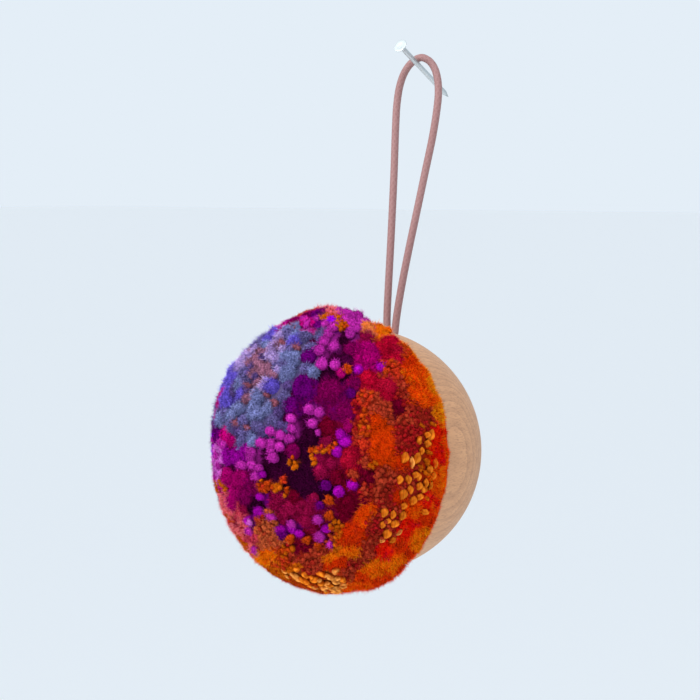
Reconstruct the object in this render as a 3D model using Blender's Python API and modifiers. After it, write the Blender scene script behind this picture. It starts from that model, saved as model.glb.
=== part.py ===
"""Yarn pom pom in a turned wooden half ball, hung by a cord loop from a nail.

Metres, +Z up. The origin is where the nail enters the wall. The wall's face is the plane y = 0,
+Y runs into the wall, -Y comes out of it towards a viewer, and +X is the viewer's right.
Turned pieces are drawn round their own Z axis, which then points straight out of the wall.
"""

import math
import random

import bmesh
import bpy
from mathutils import Vector

MM = 0.001

# Where the half ball's turning axis lies: this far below the nail's entry into the wall.
AXIS_DROP = 99.5 * MM

# Wooden half ball. Distances along the axis are counted from the wall.
BALL_RADIUS = 32.5 * MM
BALL_CENTRE = 30.2 * MM
BALL_FRONT = 33.0 * MM
BALL_EDGE_ROUND = 0.8 * MM
FOOT_CHAMFER = 0.4 * MM
BALL_ARC_STEPS = 16
BALL_TURN_STEPS = 64

# Hole for the cord, drilled down into the top of the half ball.
HOLE_ACROSS = -0.8 * MM
HOLE_FROM_WALL = 16.0 * MM
HOLE_RADIUS = 2.5 * MM
HOLE_DEPTH = 10.3 * MM
HOLE_SIDES = 32

# Pile of the pom pom: its outside, its widest ring and the backing that holds the roots.
PILE_RADIUS = 38.0 * MM
PILE_FRONT_HEIGHT = 27.0 * MM
PILE_BACK_CURL = 12.5 * MM
PILE_WIDEST = 38.0 * MM
PILE_SQUARENESS = 2.2
BACKING_RADIUS = 30.0 * MM
BACKING_FRONT_HEIGHT = 19.0 * MM
PILE_TURN_BACK = math.radians(112)
LOCKS_ACROSS = 10
LAST_RING_TILT = math.radians(81)
LOCK_GAP = 0.38 * MM
LOCK_SHOULDER = 0.86
LOCK_ROUNDING = 0.95 * MM
LOCK_CROWN = 0.15 * MM
LOCK_SHIFT = math.radians(1.9)
LOCK_LENGTH_SPREAD = 0.45 * MM
PILE_SEED = 11

# Clipped relief of the pile. Turn is counted from the viewer's right, anticlockwise; tilt from
# the pole at the front; the patch fades out over its spread; rise is how far the pile stands out.
PILE_RELIEF = (
    # turn, tilt, spread (degrees), rise (mm)
    (150.0, 55.0, 24.0, 0.9),
    (200.0, 40.0, 20.0, 0.8),
    (60.0, 62.0, 18.0, 0.7),
    (15.0, 45.0, 20.0, 0.8),
    (265.0, 30.0, 18.0, -0.9),
    (110.0, 20.0, 16.0, -0.6),
    (320.0, 70.0, 26.0, -1.6),
    (350.0, 85.0, 20.0, -0.7),
    (235.0, 75.0, 22.0, 0.6),
)

# Nail, with its slope up from the wall's normal.
NAIL_SLOPE = math.radians(32.5)
NAIL_OUT = 15.6 * MM
NAIL_BURIED = 9.4 * MM
NAIL_RADIUS = 0.7 * MM
NAIL_HEAD_RADIUS = 1.8 * MM
NAIL_HEAD_THICKNESS = 0.6 * MM
NAIL_HEAD_ROUND = 0.15 * MM
NAIL_POINT = 2.2 * MM
NAIL_SIDES = 24

# Cord loop. The loop lies in a plane that leans from the hole's mouth to the top of the nail.
CORD_DIAMETER = 2.0 * MM
CORD_POINT_SPACING = 3.0 * MM
LOOP_TOP_FROM_WALL = 4.2 * MM
LOOP_TOP = 5.4 * MM
CORD_ROUTE = (
    # across (mm), up from the nail's entry (mm)
    (-1.95, -80.2),
    (-1.95, -76.0),
    (-1.98, -72.0),
    (-2.35, -68.4),
    (-2.85, -64.5),
    (-3.35, -57.4),
    (-4.2, -43.1),
    (-5.4, -25.5),
    (-6.4, -13.6),
    (-6.75, -7.0),
    (-6.35, -2.0),
    (-5.1, 1.6),
    (-3.0, 4.1),
    (0.0, 5.4),
    (2.9, 4.5),
    (5.1, 2.4),
    (6.6, -0.8),
    (7.3, -4.6),
    (7.3, -9.0),
    (6.75, -16.0),
    (5.4, -25.5),
    (3.9, -36.0),
    (2.4, -46.4),
    (1.25, -55.5),
    (0.5, -64.0),
    (0.4, -68.4),
    (0.35, -72.0),
    (0.35, -76.0),
    (0.35, -80.2),
)

PALE_WOOD = ((0.60, 0.42, 0.26, 1.0), 0.50, 0.0)
MIXED_YARN = ((0.42, 0.05, 0.10, 1.0), 0.90, 0.0)
ROSE_BROWN_CORD = ((0.38, 0.17, 0.14, 1.0), 0.65, 0.0)
ZINC = ((0.55, 0.60, 0.58, 1.0), 0.40, 1.0)


def clear_scene():
    for old in list(bpy.data.objects):
        bpy.data.objects.remove(old, do_unlink=True)


def new_collection(name, hidden=False):
    collection = bpy.data.collections.new(name)
    bpy.context.scene.collection.children.link(collection)
    collection.hide_render = hidden
    return collection


def new_material(name, finish):
    colour, roughness, metallic = finish
    material = bpy.data.materials.new(name)
    material.use_nodes = True
    shader = material.node_tree.nodes["Principled BSDF"]
    shader.inputs["Base Color"].default_value = colour
    shader.inputs["Roughness"].default_value = roughness
    shader.inputs["Metallic"].default_value = metallic
    material.diffuse_color = colour
    return material


def add_mesh(name, mesh, collection, material=None):
    thing = bpy.data.objects.new(name, mesh)
    collection.objects.link(thing)
    if material is not None:
        mesh.materials.append(material)
    return thing


def arc(centre, radius, start, end, steps):
    """Points of an arc in the radius-height plane, angles in degrees from the radius axis."""
    points = []
    for step in range(steps + 1):
        angle = math.radians(start + (end - start) * step / steps)
        points.append((centre[0] + radius * math.cos(angle), centre[1] + radius * math.sin(angle)))
    return points


def turned(name, outline, steps, collection, material):
    """Turn an outline of (radius, height) points, listed from the top down, round the Z axis."""
    mesh = bpy.data.meshes.new(name)
    points = [(radius, 0.0, height) for radius, height in outline]
    edges = [(i, i + 1) for i in range(len(points) - 1)]
    mesh.from_pydata(points, edges, [])
    thing = add_mesh(name, mesh, collection, material)
    screw = thing.modifiers.new("turning", 'SCREW')
    screw.steps = steps
    screw.render_steps = steps
    screw.use_merge_vertices = True
    screw.merge_threshold = 0.00001
    return thing


def point_out_of_wall(thing, slope=0.0):
    """Lay the piece's Z axis along -Y, sloping upwards by the given angle."""
    thing.rotation_euler = (math.radians(90) - slope, 0.0, 0.0)


def loop_lean():
    """Slope of the cord loop's plane: how far it comes out of the wall for each unit down."""
    hole_height = ball_surface_height(HOLE_FROM_WALL) - AXIS_DROP
    return (HOLE_FROM_WALL - LOOP_TOP_FROM_WALL) / (LOOP_TOP - hole_height)


def ball_surface_height(from_wall):
    """Height of the ball's top above its axis, at a distance from the wall."""
    return math.sqrt(BALL_RADIUS ** 2 - (from_wall - BALL_CENTRE) ** 2)


def build_half_ball(collection, cutters):
    foot_angle = math.degrees(math.asin(-BALL_CENTRE / BALL_RADIUS))
    front_angle = math.degrees(math.asin((BALL_FRONT - BALL_EDGE_ROUND - BALL_CENTRE) / BALL_RADIUS))
    foot_radius = math.sqrt(BALL_RADIUS ** 2 - BALL_CENTRE ** 2)
    side_radius = BALL_RADIUS * math.cos(math.radians(front_angle))
    chamfer_angle = foot_angle + math.degrees(FOOT_CHAMFER / BALL_RADIUS)

    edge_centre = (side_radius - BALL_EDGE_ROUND, BALL_FRONT - BALL_EDGE_ROUND)
    outline = [(0.0, BALL_FRONT)]
    outline += arc(edge_centre, BALL_EDGE_ROUND, 90, front_angle, 4)
    outline += arc((0.0, BALL_CENTRE), BALL_RADIUS, front_angle, chamfer_angle, BALL_ARC_STEPS)[1:]
    outline += [(foot_radius - FOOT_CHAMFER, 0.0), (0.0, 0.0)]

    ball = turned("wooden_half_ball", outline, BALL_TURN_STEPS, collection,
                  new_material("pale_wood", PALE_WOOD))
    point_out_of_wall(ball)
    ball.location.z = -AXIS_DROP

    bpy.ops.mesh.primitive_cylinder_add(vertices=HOLE_SIDES, radius=HOLE_RADIUS, depth=2 * HOLE_DEPTH)
    drill = bpy.context.object
    drill.name = "cord_drill"
    for owner in list(drill.users_collection):
        owner.objects.unlink(drill)
    cutters.objects.link(drill)
    drill.rotation_euler = (-math.atan(loop_lean()), 0.0, 0.0)
    drill.location = (HOLE_ACROSS, -HOLE_FROM_WALL, ball_surface_height(HOLE_FROM_WALL) - AXIS_DROP)
    drill.hide_render = True
    drill.display_type = 'WIRE'

    hole = ball.modifiers.new("cord_hole", 'BOOLEAN')
    hole.operation = 'DIFFERENCE'
    hole.solver = 'EXACT'
    hole.object = drill
    return ball


def pile_rise(turn, tilt):
    """How far the clipped pile stands out of its even form in one direction."""
    here = direction(turn, tilt)
    rise = 0.0
    for turn_deg, tilt_deg, spread_deg, height in PILE_RELIEF:
        there = direction(math.radians(turn_deg), math.radians(tilt_deg))
        away = here.angle(there) / math.radians(spread_deg)
        rise += height * MM * math.exp(-away * away)
    return rise


def direction(turn, tilt):
    return Vector((math.sin(tilt) * math.cos(turn), math.sin(tilt) * math.sin(turn), math.cos(tilt)))


def pile_point(turn, tilt, reach):
    """A point of the pile: reach 0 lies on the backing, reach 1 on the clipped outside."""
    side, front = abs(math.sin(tilt)), math.cos(tilt)
    root_radius = BACKING_RADIUS * side
    if front >= 0.0:
        power = 2.0 / PILE_SQUARENESS
        rise = pile_rise(turn, tilt)
        tip_radius = (PILE_RADIUS + rise) * side ** power
        tip_height = (PILE_FRONT_HEIGHT + rise) * front ** power
        root_height = BACKING_FRONT_HEIGHT * front
    else:
        tip_radius = (PILE_RADIUS + pile_rise(turn, tilt)) * side
        tip_height = root_height = PILE_BACK_CURL * front
    radius = root_radius + (tip_radius - root_radius) * reach
    height = root_height + (tip_height - root_height) * reach
    return Vector((radius * math.cos(turn), radius * math.sin(turn), PILE_WIDEST + height))


def turn_and_tilt(point):
    """Turn and tilt of a point on the backing's surface."""
    radius = math.hypot(point.x, point.y) / BACKING_RADIUS
    height = point.z - PILE_WIDEST
    depth = BACKING_FRONT_HEIGHT if height >= 0.0 else PILE_BACK_CURL
    return math.atan2(point.y, point.x), math.atan2(radius, height / depth)


def curled_back(tilt):
    """Stretch a half dome's tilt so that its last ring of squares lies behind the widest ring."""
    quarter = math.pi / 2.0
    if tilt <= LAST_RING_TILT:
        return tilt * quarter / LAST_RING_TILT
    return quarter + (tilt - LAST_RING_TILT) * (PILE_TURN_BACK - quarter) / (quarter - LAST_RING_TILT)


def backing_grid(form):
    """Backing of the pile: the front half of a rounded cube, whose squares each carry one lock."""
    bmesh.ops.create_cube(form, size=2.0)
    bmesh.ops.subdivide_edges(form, edges=form.edges[:], cuts=LOCKS_ACROSS - 1, use_grid_fill=True)
    behind = [face for face in form.faces if face.calc_center_median().z < 0.0]
    bmesh.ops.delete(form, geom=behind, context='FACES')

    shift = random.Random(PILE_SEED)
    for corner in form.verts:
        even = Vector([math.tan(value * math.pi / 4.0) for value in corner.co]).normalized()
        tilt = curled_back(math.acos(max(-1.0, min(1.0, even.z))))
        turn = math.atan2(even.y, even.x)
        if not corner.is_boundary:
            tilt += shift.uniform(-LOCK_SHIFT, LOCK_SHIFT)
            turn += shift.uniform(-LOCK_SHIFT, LOCK_SHIFT) / max(math.sin(tilt), 0.2)
        corner.co = pile_point(turn, tilt, 0.0)


def build_pom_pom(collection):
    """Backing with four-sided locks of pile that stand apart but for their roots."""
    form = bmesh.new()
    backing_grid(form)
    locks = form.faces[:]
    back_edges = [edge for edge in form.edges if edge.is_boundary]
    bmesh.ops.contextual_create(form, geom=back_edges)
    bmesh.ops.recalc_face_normals(form, faces=form.faces[:])

    bmesh.ops.inset_individual(form, faces=locks, thickness=LOCK_GAP, use_even_offset=True)
    locks = bmesh.ops.extrude_discrete_faces(form, faces=locks)["faces"]
    pile_length = PILE_RADIUS - BACKING_RADIUS
    clip = random.Random(PILE_SEED + 1)
    for lock in locks:
        reach = LOCK_SHOULDER + clip.uniform(-LOCK_LENGTH_SPREAD, LOCK_LENGTH_SPREAD) / pile_length
        for corner in lock.verts:
            turn, tilt = turn_and_tilt(corner.co)
            corner.co = pile_point(turn, min(tilt, PILE_TURN_BACK), reach)
        lock.normal_update()

    bmesh.ops.inset_individual(form, faces=locks, thickness=LOCK_ROUNDING, use_even_offset=True)
    for lock in locks:
        for corner in lock.verts:
            corner.co += lock.normal * pile_length * (1.0 - LOCK_SHOULDER)
    bmesh.ops.poke(form, faces=locks, offset=LOCK_CROWN)

    mesh = bpy.data.meshes.new("pom_pom")
    form.to_mesh(mesh)
    form.free()
    pom = add_mesh("pom_pom", mesh, collection, new_material("mixed_yarn", MIXED_YARN))
    point_out_of_wall(pom)
    pom.location.z = -AXIS_DROP
    return pom


def build_nail(collection):
    edge_centre = (NAIL_HEAD_RADIUS - NAIL_HEAD_ROUND, NAIL_OUT - NAIL_HEAD_ROUND)
    outline = [(0.0, NAIL_OUT)]
    outline += arc(edge_centre, NAIL_HEAD_ROUND, 90, 0, 3)
    outline += [
        (NAIL_HEAD_RADIUS, NAIL_OUT - NAIL_HEAD_THICKNESS),
        (NAIL_RADIUS, NAIL_OUT - NAIL_HEAD_THICKNESS),
        (NAIL_RADIUS, NAIL_POINT - NAIL_BURIED),
        (0.0, -NAIL_BURIED),
    ]
    nail = turned("nail", outline, NAIL_SIDES, collection, new_material("zinc", ZINC))
    point_out_of_wall(nail, NAIL_SLOPE)
    return nail


def smooth_route(points, spacing):
    """Even points along a smooth curve through the given ones (a centripetal Catmull-Rom curve)."""
    ends = [points[0] * 2 - points[1]] + points + [points[-1] * 2 - points[-2]]
    fine = []
    for p0, p1, p2, p3 in zip(ends, ends[1:], ends[2:], ends[3:]):
        t1 = math.sqrt((p1 - p0).length)
        t2 = t1 + math.sqrt((p2 - p1).length)
        t3 = t2 + math.sqrt((p3 - p2).length)
        for step in range(20):
            t = t1 + (t2 - t1) * step / 20
            a1 = p0.lerp(p1, t / t1)
            a2 = p1.lerp(p2, (t - t1) / (t2 - t1))
            a3 = p2.lerp(p3, (t - t2) / (t3 - t2))
            b1 = a1.lerp(a2, t / t2)
            b2 = a2.lerp(a3, (t - t1) / (t3 - t1))
            fine.append(b1.lerp(b2, (t - t1) / (t2 - t1)))
    fine.append(points[-1])

    length = sum((b - a).length for a, b in zip(fine, fine[1:]))
    count = round(length / spacing)
    even, walked, target = [fine[0]], 0.0, length / count
    for a, b in zip(fine, fine[1:]):
        run = (b - a).length
        while walked + run >= target and len(even) < count:
            even.append(a.lerp(b, (target - walked) / run))
            target += length / count
        walked += run
    return even + [fine[-1]]


def build_cord_loop(collection):
    lean = loop_lean()
    route = []
    for across, up in CORD_ROUTE:
        from_wall = LOOP_TOP_FROM_WALL + (LOOP_TOP - up * MM) * lean
        route.append(Vector((across * MM, -from_wall, up * MM)))
    points = smooth_route(route, CORD_POINT_SPACING)

    curve = bpy.data.curves.new("cord_loop", 'CURVE')
    curve.dimensions = '3D'
    curve.bevel_depth = CORD_DIAMETER / 2
    curve.bevel_resolution = 2
    curve.use_fill_caps = True
    spline = curve.splines.new('POLY')
    spline.points.add(len(points) - 1)
    for slot, point in zip(spline.points, points):
        slot.co = (*point, 1.0)
    cord = bpy.data.objects.new("cord_loop", curve)
    collection.objects.link(cord)
    curve.materials.append(new_material("rose_brown_cord", ROSE_BROWN_CORD))
    return cord


def main():
    clear_scene()
    parts = new_collection("yarn_pom_pom")
    cutters = new_collection("cutters", hidden=True)
    build_half_ball(parts, cutters)
    build_pom_pom(parts)
    build_cord_loop(parts)
    build_nail(parts)


main()
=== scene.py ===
import math
import random
from itertools import product

import bmesh
import bpy
import numpy as np
from mathutils import Matrix, Vector, noise
from mathutils.bvhtree import BVHTree


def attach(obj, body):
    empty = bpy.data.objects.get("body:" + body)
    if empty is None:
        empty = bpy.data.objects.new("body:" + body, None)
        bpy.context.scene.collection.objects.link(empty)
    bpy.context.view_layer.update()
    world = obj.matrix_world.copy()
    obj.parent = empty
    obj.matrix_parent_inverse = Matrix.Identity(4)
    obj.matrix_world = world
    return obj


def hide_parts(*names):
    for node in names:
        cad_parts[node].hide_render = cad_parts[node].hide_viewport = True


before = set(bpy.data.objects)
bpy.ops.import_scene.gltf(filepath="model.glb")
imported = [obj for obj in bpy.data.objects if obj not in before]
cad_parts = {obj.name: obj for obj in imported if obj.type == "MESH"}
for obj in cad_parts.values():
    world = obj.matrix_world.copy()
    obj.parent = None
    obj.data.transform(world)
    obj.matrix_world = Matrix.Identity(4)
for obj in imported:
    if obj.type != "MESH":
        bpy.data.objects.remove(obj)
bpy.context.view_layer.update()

MM = 0.001


# ==== Viewer ==================================================================================
# Someone stands to the right of the hanging pom pom, nearly a metre off, and looks slightly
# down at it through a long lens, so that the pile's face and the side of the wood both show.

VIEW_TURN = math.radians(40.0)
VIEW_DROP = math.radians(3.3)
VIEW_DISTANCE = 829.0 * MM
PICTURE_PIXELS = 700.0
FOCAL_PIXELS = 3110.0
AIM_POINT = Vector((0.0, -29.5, -99.5)) * MM
AIM_PIXEL = (361.0, 450.0)
SENSOR_MM = 36.0
NEAREST, FARTHEST = 10.0 * MM, 100.0


def placed(name, content):
    """A new object in the scene that holds a mesh, a curve, a lamp or a camera."""
    thing = bpy.data.objects.new(name, content)
    bpy.context.scene.collection.objects.link(thing)
    return thing


view_ahead = Vector((
    -math.sin(VIEW_TURN) * math.cos(VIEW_DROP),
    math.cos(VIEW_TURN) * math.cos(VIEW_DROP),
    -math.sin(VIEW_DROP),
))
view_right = Vector((math.cos(VIEW_TURN), math.sin(VIEW_TURN), 0.0))
view_up = view_right.cross(view_ahead)
aim_right = (AIM_PIXEL[0] - PICTURE_PIXELS / 2) / FOCAL_PIXELS
aim_down = (AIM_PIXEL[1] - PICTURE_PIXELS / 2) / FOCAL_PIXELS
eye = AIM_POINT - VIEW_DISTANCE * (view_ahead + aim_right * view_right - aim_down * view_up)

camera = placed("viewer", bpy.data.cameras.new("viewer"))
camera.location = eye
camera.rotation_euler = (math.pi / 2 - VIEW_DROP, 0.0, VIEW_TURN)
camera.data.sensor_width = SENSOR_MM
camera.data.lens = SENSOR_MM * FOCAL_PIXELS / PICTURE_PIXELS
camera.data.clip_start, camera.data.clip_end = NEAREST, FARTHEST
bpy.context.scene.camera = camera


# ==== Cord loop ===============================================================================
# A round, waxed cotton cord, 2 mm thick, braided from dusty rose-brown strands. Both its ends
# are glued into one hole in the top of the wooden half ball, and its loop hangs over the nail.

CORD_DIAMETER = 2.0 * MM
CORD_POINT_SPACING = 3.0 * MM
CORD_RING_SPACING = 0.22 * MM
CORD_SIDES = 28
STEPS_BETWEEN_POINTS = 20
BRAID_STRANDS = 5
BRAID_PITCH = 1.9 * MM
BRAID_RELIEF = 0.045 * MM
BRAID_EVEN = 0.6
CORD_COLOURS = ((0.190, 0.076, 0.072, 1.0), (0.305, 0.162, 0.158, 1.0))
# How far the braid's relief (painted shade in the grooves between strands, lighter crowns), the wear
# and slow changes of tone lighten the cord, and where that starts
BY_STRAND_SHADE, BY_WEAR, BY_TONE, CORD_SHADE = 0.40, 0.35, 0.35, -0.05
WEAR_SCALE, TONE_SCALE = 900.0, 60.0
CORD_ROUGHNESS, SMOOTHED_BY_WEAR = 0.72, 0.18
WEAR_BUMP, WEAR_DEPTH = 0.25, 0.1 * MM
CORD_SHEEN = 0.05
AXIS_DROP = 99.5 * MM
HOLE_FROM_WALL = 16.0 * MM
LOOP_TOP_FROM_WALL = 4.2 * MM
LOOP_TOP = 5.4 * MM
BALL_RADIUS = 32.5 * MM
BALL_CENTRE = 30.2 * MM
CORD_ROUTE = (
    # across (mm), up from the nail's entry into the wall (mm)
    (-1.95, -80.2), (-1.95, -76.0), (-1.98, -72.0), (-2.35, -68.4), (-2.85, -64.5), (-3.35, -57.4),
    (-4.2, -43.1), (-5.4, -25.5), (-6.4, -13.6), (-6.75, -7.0), (-6.35, -2.0), (-5.1, 1.6),
    (-3.0, 4.1), (0.0, 5.4), (2.9, 4.5), (5.1, 2.4), (6.6, -0.8), (7.3, -4.6), (7.3, -9.0),
    (6.75, -16.0), (5.4, -25.5), (3.9, -36.0), (2.4, -46.4), (1.25, -55.5), (0.5, -64.0),
    (0.4, -68.4), (0.35, -72.0), (0.35, -76.0), (0.35, -80.2),
)


class Wire:
    """A node's output, which plain arithmetic can be written with."""

    def __init__(self, bench, socket):
        self.bench, self.socket = bench, socket

    def into(self, node, slot):
        self.bench.tree.links.new(self.socket, node.inputs[slot])

    def twin(self, out):
        """Another output of the same node."""
        return Wire(self.bench, self.socket.node.outputs[out])

    def maths(self, operation, *others):
        return self.bench.maths(operation, self, *others)

    def vector(self, operation, *others, out=0, **given):
        """Vector maths on this wire and others."""
        inputs = {**dict(enumerate((self, *others))), **given}
        return self.bench.node("ShaderNodeVectorMath", inputs, out, operation=operation)

    def __add__(self, other):
        return self.maths("ADD", other)

    def __sub__(self, other):
        return self.maths("SUBTRACT", other)

    def __rsub__(self, other):
        return self.bench.maths("SUBTRACT", other, self)

    def __mul__(self, other):
        return self.maths("MULTIPLY", other)

    def __truediv__(self, other):
        return self.maths("DIVIDE", other)

    def __pow__(self, other):
        return self.maths("POWER", other)

    __radd__, __rmul__ = __add__, __mul__


class Bench:
    """One node tree, to which nodes are added by type, what goes into them, and settings."""

    def __init__(self, tree):
        self.tree = tree

    def node(self, kind, inputs=None, out=0, **settings):
        made = self.tree.nodes.new(kind)
        for name, value in settings.items():
            setattr(made, name, value)
        for slot, value in (inputs or {}).items():
            if isinstance(value, Wire):
                value.into(made, slot)
            else:
                made.inputs[slot].default_value = value
        return Wire(self, made.outputs[out])

    def maths(self, operation, *values):
        return self.node("ShaderNodeMath", dict(enumerate(values)), operation=operation)

    def mix(self, share, first, second, blend='MIX'):
        """Colour between two colours, or one laid over the other in a blend."""
        inputs = {0: share, 6: first, 7: second}
        return self.node("ShaderNodeMix", inputs, 2, data_type='RGBA', blend_type=blend)

    def clouds(self, scale, place=None, detail=2.0, out=0):
        """Smooth noise with so many waves to a metre, at each point or over a given place."""
        inputs = {"Scale": scale, "Detail": detail}
        if place:
            inputs["Vector"] = place
        return self.node("ShaderNodeTexNoise", inputs, out)

    def here(self):
        """Where on the object a point of a finish lies, in metres."""
        return self.node("ShaderNodeTexCoord", out="Object")

    def carried(self, name, out="Fac"):
        """What the mesh carries under a name, for a finish."""
        return self.node("ShaderNodeAttribute", out=out, attribute_name=name)

    def bumps(self, height, strength, depth, shader):
        inputs = {"Height": height, "Strength": strength, "Distance": depth}
        self.node("ShaderNodeBump", inputs).into(shader, "Normal")

    def named(self, name, kind='FLOAT'):
        """What the geometry carries under a name, for growth."""
        return self.node("GeometryNodeInputNamedAttribute", {"Name": name}, data_type=kind)

    def keep(self, shape, name, value, kind='FLOAT', domain='POINT'):
        """Store a value on the geometry under a name."""
        inputs = {"Geometry": shape, "Name": name, "Value": value}
        return self.node("GeometryNodeStoreNamedAttribute", inputs, data_type=kind, domain=domain)


def new_finish(name):
    """A new material, its bench and its shader, which the caller wires up."""
    material = bpy.data.materials.new(name)
    material.use_nodes = True
    return material, Bench(material.node_tree), material.node_tree.nodes["Principled BSDF"]


def new_growth(name, **given):
    """A new geometry tree, its bench, and wires from its named inputs."""
    tree = bpy.data.node_groups.new(name, 'GeometryNodeTree')
    tree.interface.new_socket("Shape", in_out='INPUT', socket_type='NodeSocketGeometry')
    tree.interface.new_socket("Shape", in_out='OUTPUT', socket_type='NodeSocketGeometry')
    for label, kind in given.items():
        tree.interface.new_socket(label, in_out='INPUT', socket_type="NodeSocket" + kind)
    entry = tree.nodes.new("NodeGroupInput")
    bench = Bench(tree)
    return bench, {label: Wire(bench, entry.outputs[label]) for label in ("Shape", *given)}


def end_growth(bench, shape, finish):
    """End a geometry tree: plain geometry, smooth, in its finish."""
    shape = bench.node("GeometryNodeRealizeInstances", {"Geometry": shape})
    shape = bench.node("GeometryNodeSetShadeSmooth", {"Geometry": shape})
    shape = bench.node("GeometryNodeSetMaterial", {"Geometry": shape, "Material": finish})
    shape.into(bench.tree.nodes.new("NodeGroupOutput"), 0)


def grown(name, base, bench, **sizes):
    """Run a geometry tree on an object and keep the result as a plain mesh."""
    growth = base.modifiers.new(bench.tree.name, 'NODES')
    growth.node_group = bench.tree
    for socket in bench.tree.interface.items_tree:
        if socket.in_out == 'INPUT' and socket.name in sizes:
            growth[socket.identifier] = sizes[socket.name]
    graph = bpy.context.evaluated_depsgraph_get()
    mesh = bpy.data.meshes.new_from_object(
        base.evaluated_get(graph), preserve_all_data_layers=True, depsgraph=graph)
    base.modifiers.remove(growth)
    mesh.name = name
    return placed(name, mesh)


def smooth_route(points, spacing):
    """Even points along a smooth curve through the given ones (a centripetal Catmull-Rom curve)."""
    ends = [points[0] * 2 - points[1]] + points + [points[-1] * 2 - points[-2]]
    fine = []
    for p0, p1, p2, p3 in zip(ends, ends[1:], ends[2:], ends[3:]):
        t1 = math.sqrt((p1 - p0).length)
        t2 = t1 + math.sqrt((p2 - p1).length)
        t3 = t2 + math.sqrt((p3 - p2).length)
        for step in range(STEPS_BETWEEN_POINTS):
            t = t1 + (t2 - t1) * step / STEPS_BETWEEN_POINTS
            a1 = p0.lerp(p1, t / t1)
            a2 = p1.lerp(p2, (t - t1) / (t2 - t1))
            a3 = p2.lerp(p3, (t - t2) / (t3 - t2))
            b1 = a1.lerp(a2, t / t2)
            b2 = a2.lerp(a3, (t - t1) / (t3 - t1))
            fine.append(b1.lerp(b2, (t - t1) / (t2 - t1)))
    fine.append(points[-1])

    length = sum((b - a).length for a, b in zip(fine, fine[1:]))
    count = round(length / spacing)
    even, walked, target = [fine[0]], 0.0, length / count
    for a, b in zip(fine, fine[1:]):
        run = (b - a).length
        while walked + run >= target and len(even) < count:
            even.append(a.lerp(b, (target - walked) / run))
            target += length / count
        walked += run
    return even + [fine[-1]], length


hole_height = math.sqrt(BALL_RADIUS ** 2 - (HOLE_FROM_WALL - BALL_CENTRE) ** 2) - AXIS_DROP
loop_lean = (HOLE_FROM_WALL - LOOP_TOP_FROM_WALL) / (LOOP_TOP - hole_height)
cord_points = []
for across, up in CORD_ROUTE:
    from_wall = LOOP_TOP_FROM_WALL + (LOOP_TOP - up * MM) * loop_lean
    cord_points.append(Vector((across * MM, -from_wall, up * MM)))
cord_path, cord_length = smooth_route(cord_points, CORD_POINT_SPACING)
cord_line = smooth_route(cord_points, CORD_RING_SPACING)[0]

cord_curve = bpy.data.curves.new("cord_path", 'CURVE')
cord_curve.dimensions = '3D'
cord_spline = cord_curve.splines.new('POLY')
cord_spline.points.add(len(cord_line) - 1)
for slot, point in zip(cord_spline.points, cord_line):
    slot.co = (*point, 1.0)
cord_base = placed("cord_path", cord_curve)

cord_finish, paint, shader = new_finish("waxed_cord")
wear = paint.clouds(WEAR_SCALE, paint.here(), detail=3.0)
tone = paint.clouds(TONE_SCALE, paint.here())
# Painted shade: the grooves between the braid's strands are darker, their crowns lighter
shade = paint.carried("strand") * BY_STRAND_SHADE + wear * BY_WEAR + tone * BY_TONE + CORD_SHADE
paint.mix(shade, *CORD_COLOURS).into(shader, "Base Color")
(CORD_ROUGHNESS - wear * SMOOTHED_BY_WEAR).into(shader, "Roughness")
paint.bumps(wear, WEAR_BUMP, WEAR_DEPTH, shader)
shader.inputs["Sheen Weight"].default_value = CORD_SHEEN

braiding, given = new_growth(
    "braided_cord", Radius="Float", Ring_spacing="Float", Sides="Int", Strands="Float",
    Pitch="Float", Relief="Float", Finish="Material")
route = braiding.node("GeometryNodeResampleCurve",
                      {"Curve": given["Shape"], "Length": given["Ring_spacing"]}, mode='LENGTH')
length_on = braiding.node("GeometryNodeSplineParameter", out="Length")
route = braiding.keep(route, "along", length_on)
ring = braiding.node("GeometryNodeCurvePrimitiveCircle",
                     {"Radius": given["Radius"], "Resolution": given["Sides"]})
share_round = braiding.node("GeometryNodeSplineParameter", out="Factor")
ring = braiding.keep(ring, "around", share_round)
tube = braiding.node("GeometryNodeCurveToMesh",
                     {"Curve": route, "Profile Curve": ring, "Fill Caps": True})
turn_round = braiding.named("around") * given["Strands"]
turn_along = braiding.named("along") / given["Pitch"]
left_lay = ((turn_round + turn_along) * math.tau).maths("SINE")
right_lay = ((turn_round - turn_along) * math.tau).maths("SINE")
bulge = left_lay.maths("MAXIMUM", right_lay) * 0.5 + 0.5
tube = braiding.keep(tube, "strand", bulge)
stands_out = (braiding.named("strand") - BRAID_EVEN) * given["Relief"]
lift = braiding.node("GeometryNodeInputNormal").vector("SCALE", Scale=stands_out)
tube = braiding.node("GeometryNodeSetPosition", {"Geometry": tube, "Offset": lift})
end_growth(braiding, tube, given["Finish"])
cord_loop = grown(
    "cord_loop_braid", cord_base, braiding, Radius=CORD_DIAMETER / 2,
    Ring_spacing=CORD_RING_SPACING, Sides=CORD_SIDES, Strands=float(BRAID_STRANDS),
    Pitch=BRAID_PITCH, Relief=BRAID_RELIEF, Finish=cord_finish)
bpy.data.objects.remove(cord_base)

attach(cord_loop, "root")
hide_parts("cord_loop")


# ==== Nail ====================================================================================
# A small galvanised wire nail, driven slanting down into the wall. Its head and shank are drawn
# from one wire: a flat struck head, a plain shank, and a cut point inside the wall.

NAIL_SLOPE = math.radians(32.5)
NAIL_OUT = 15.6 * MM
NAIL_BURIED = 9.4 * MM
NAIL_RADIUS = 0.7 * MM
NAIL_HEAD_RADIUS = 1.95 * MM
NAIL_HEAD_THICKNESS = 0.6 * MM
NAIL_HEAD_ROUND = 0.15 * MM
NAIL_HEAD_DISH = 0.05 * MM
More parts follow.
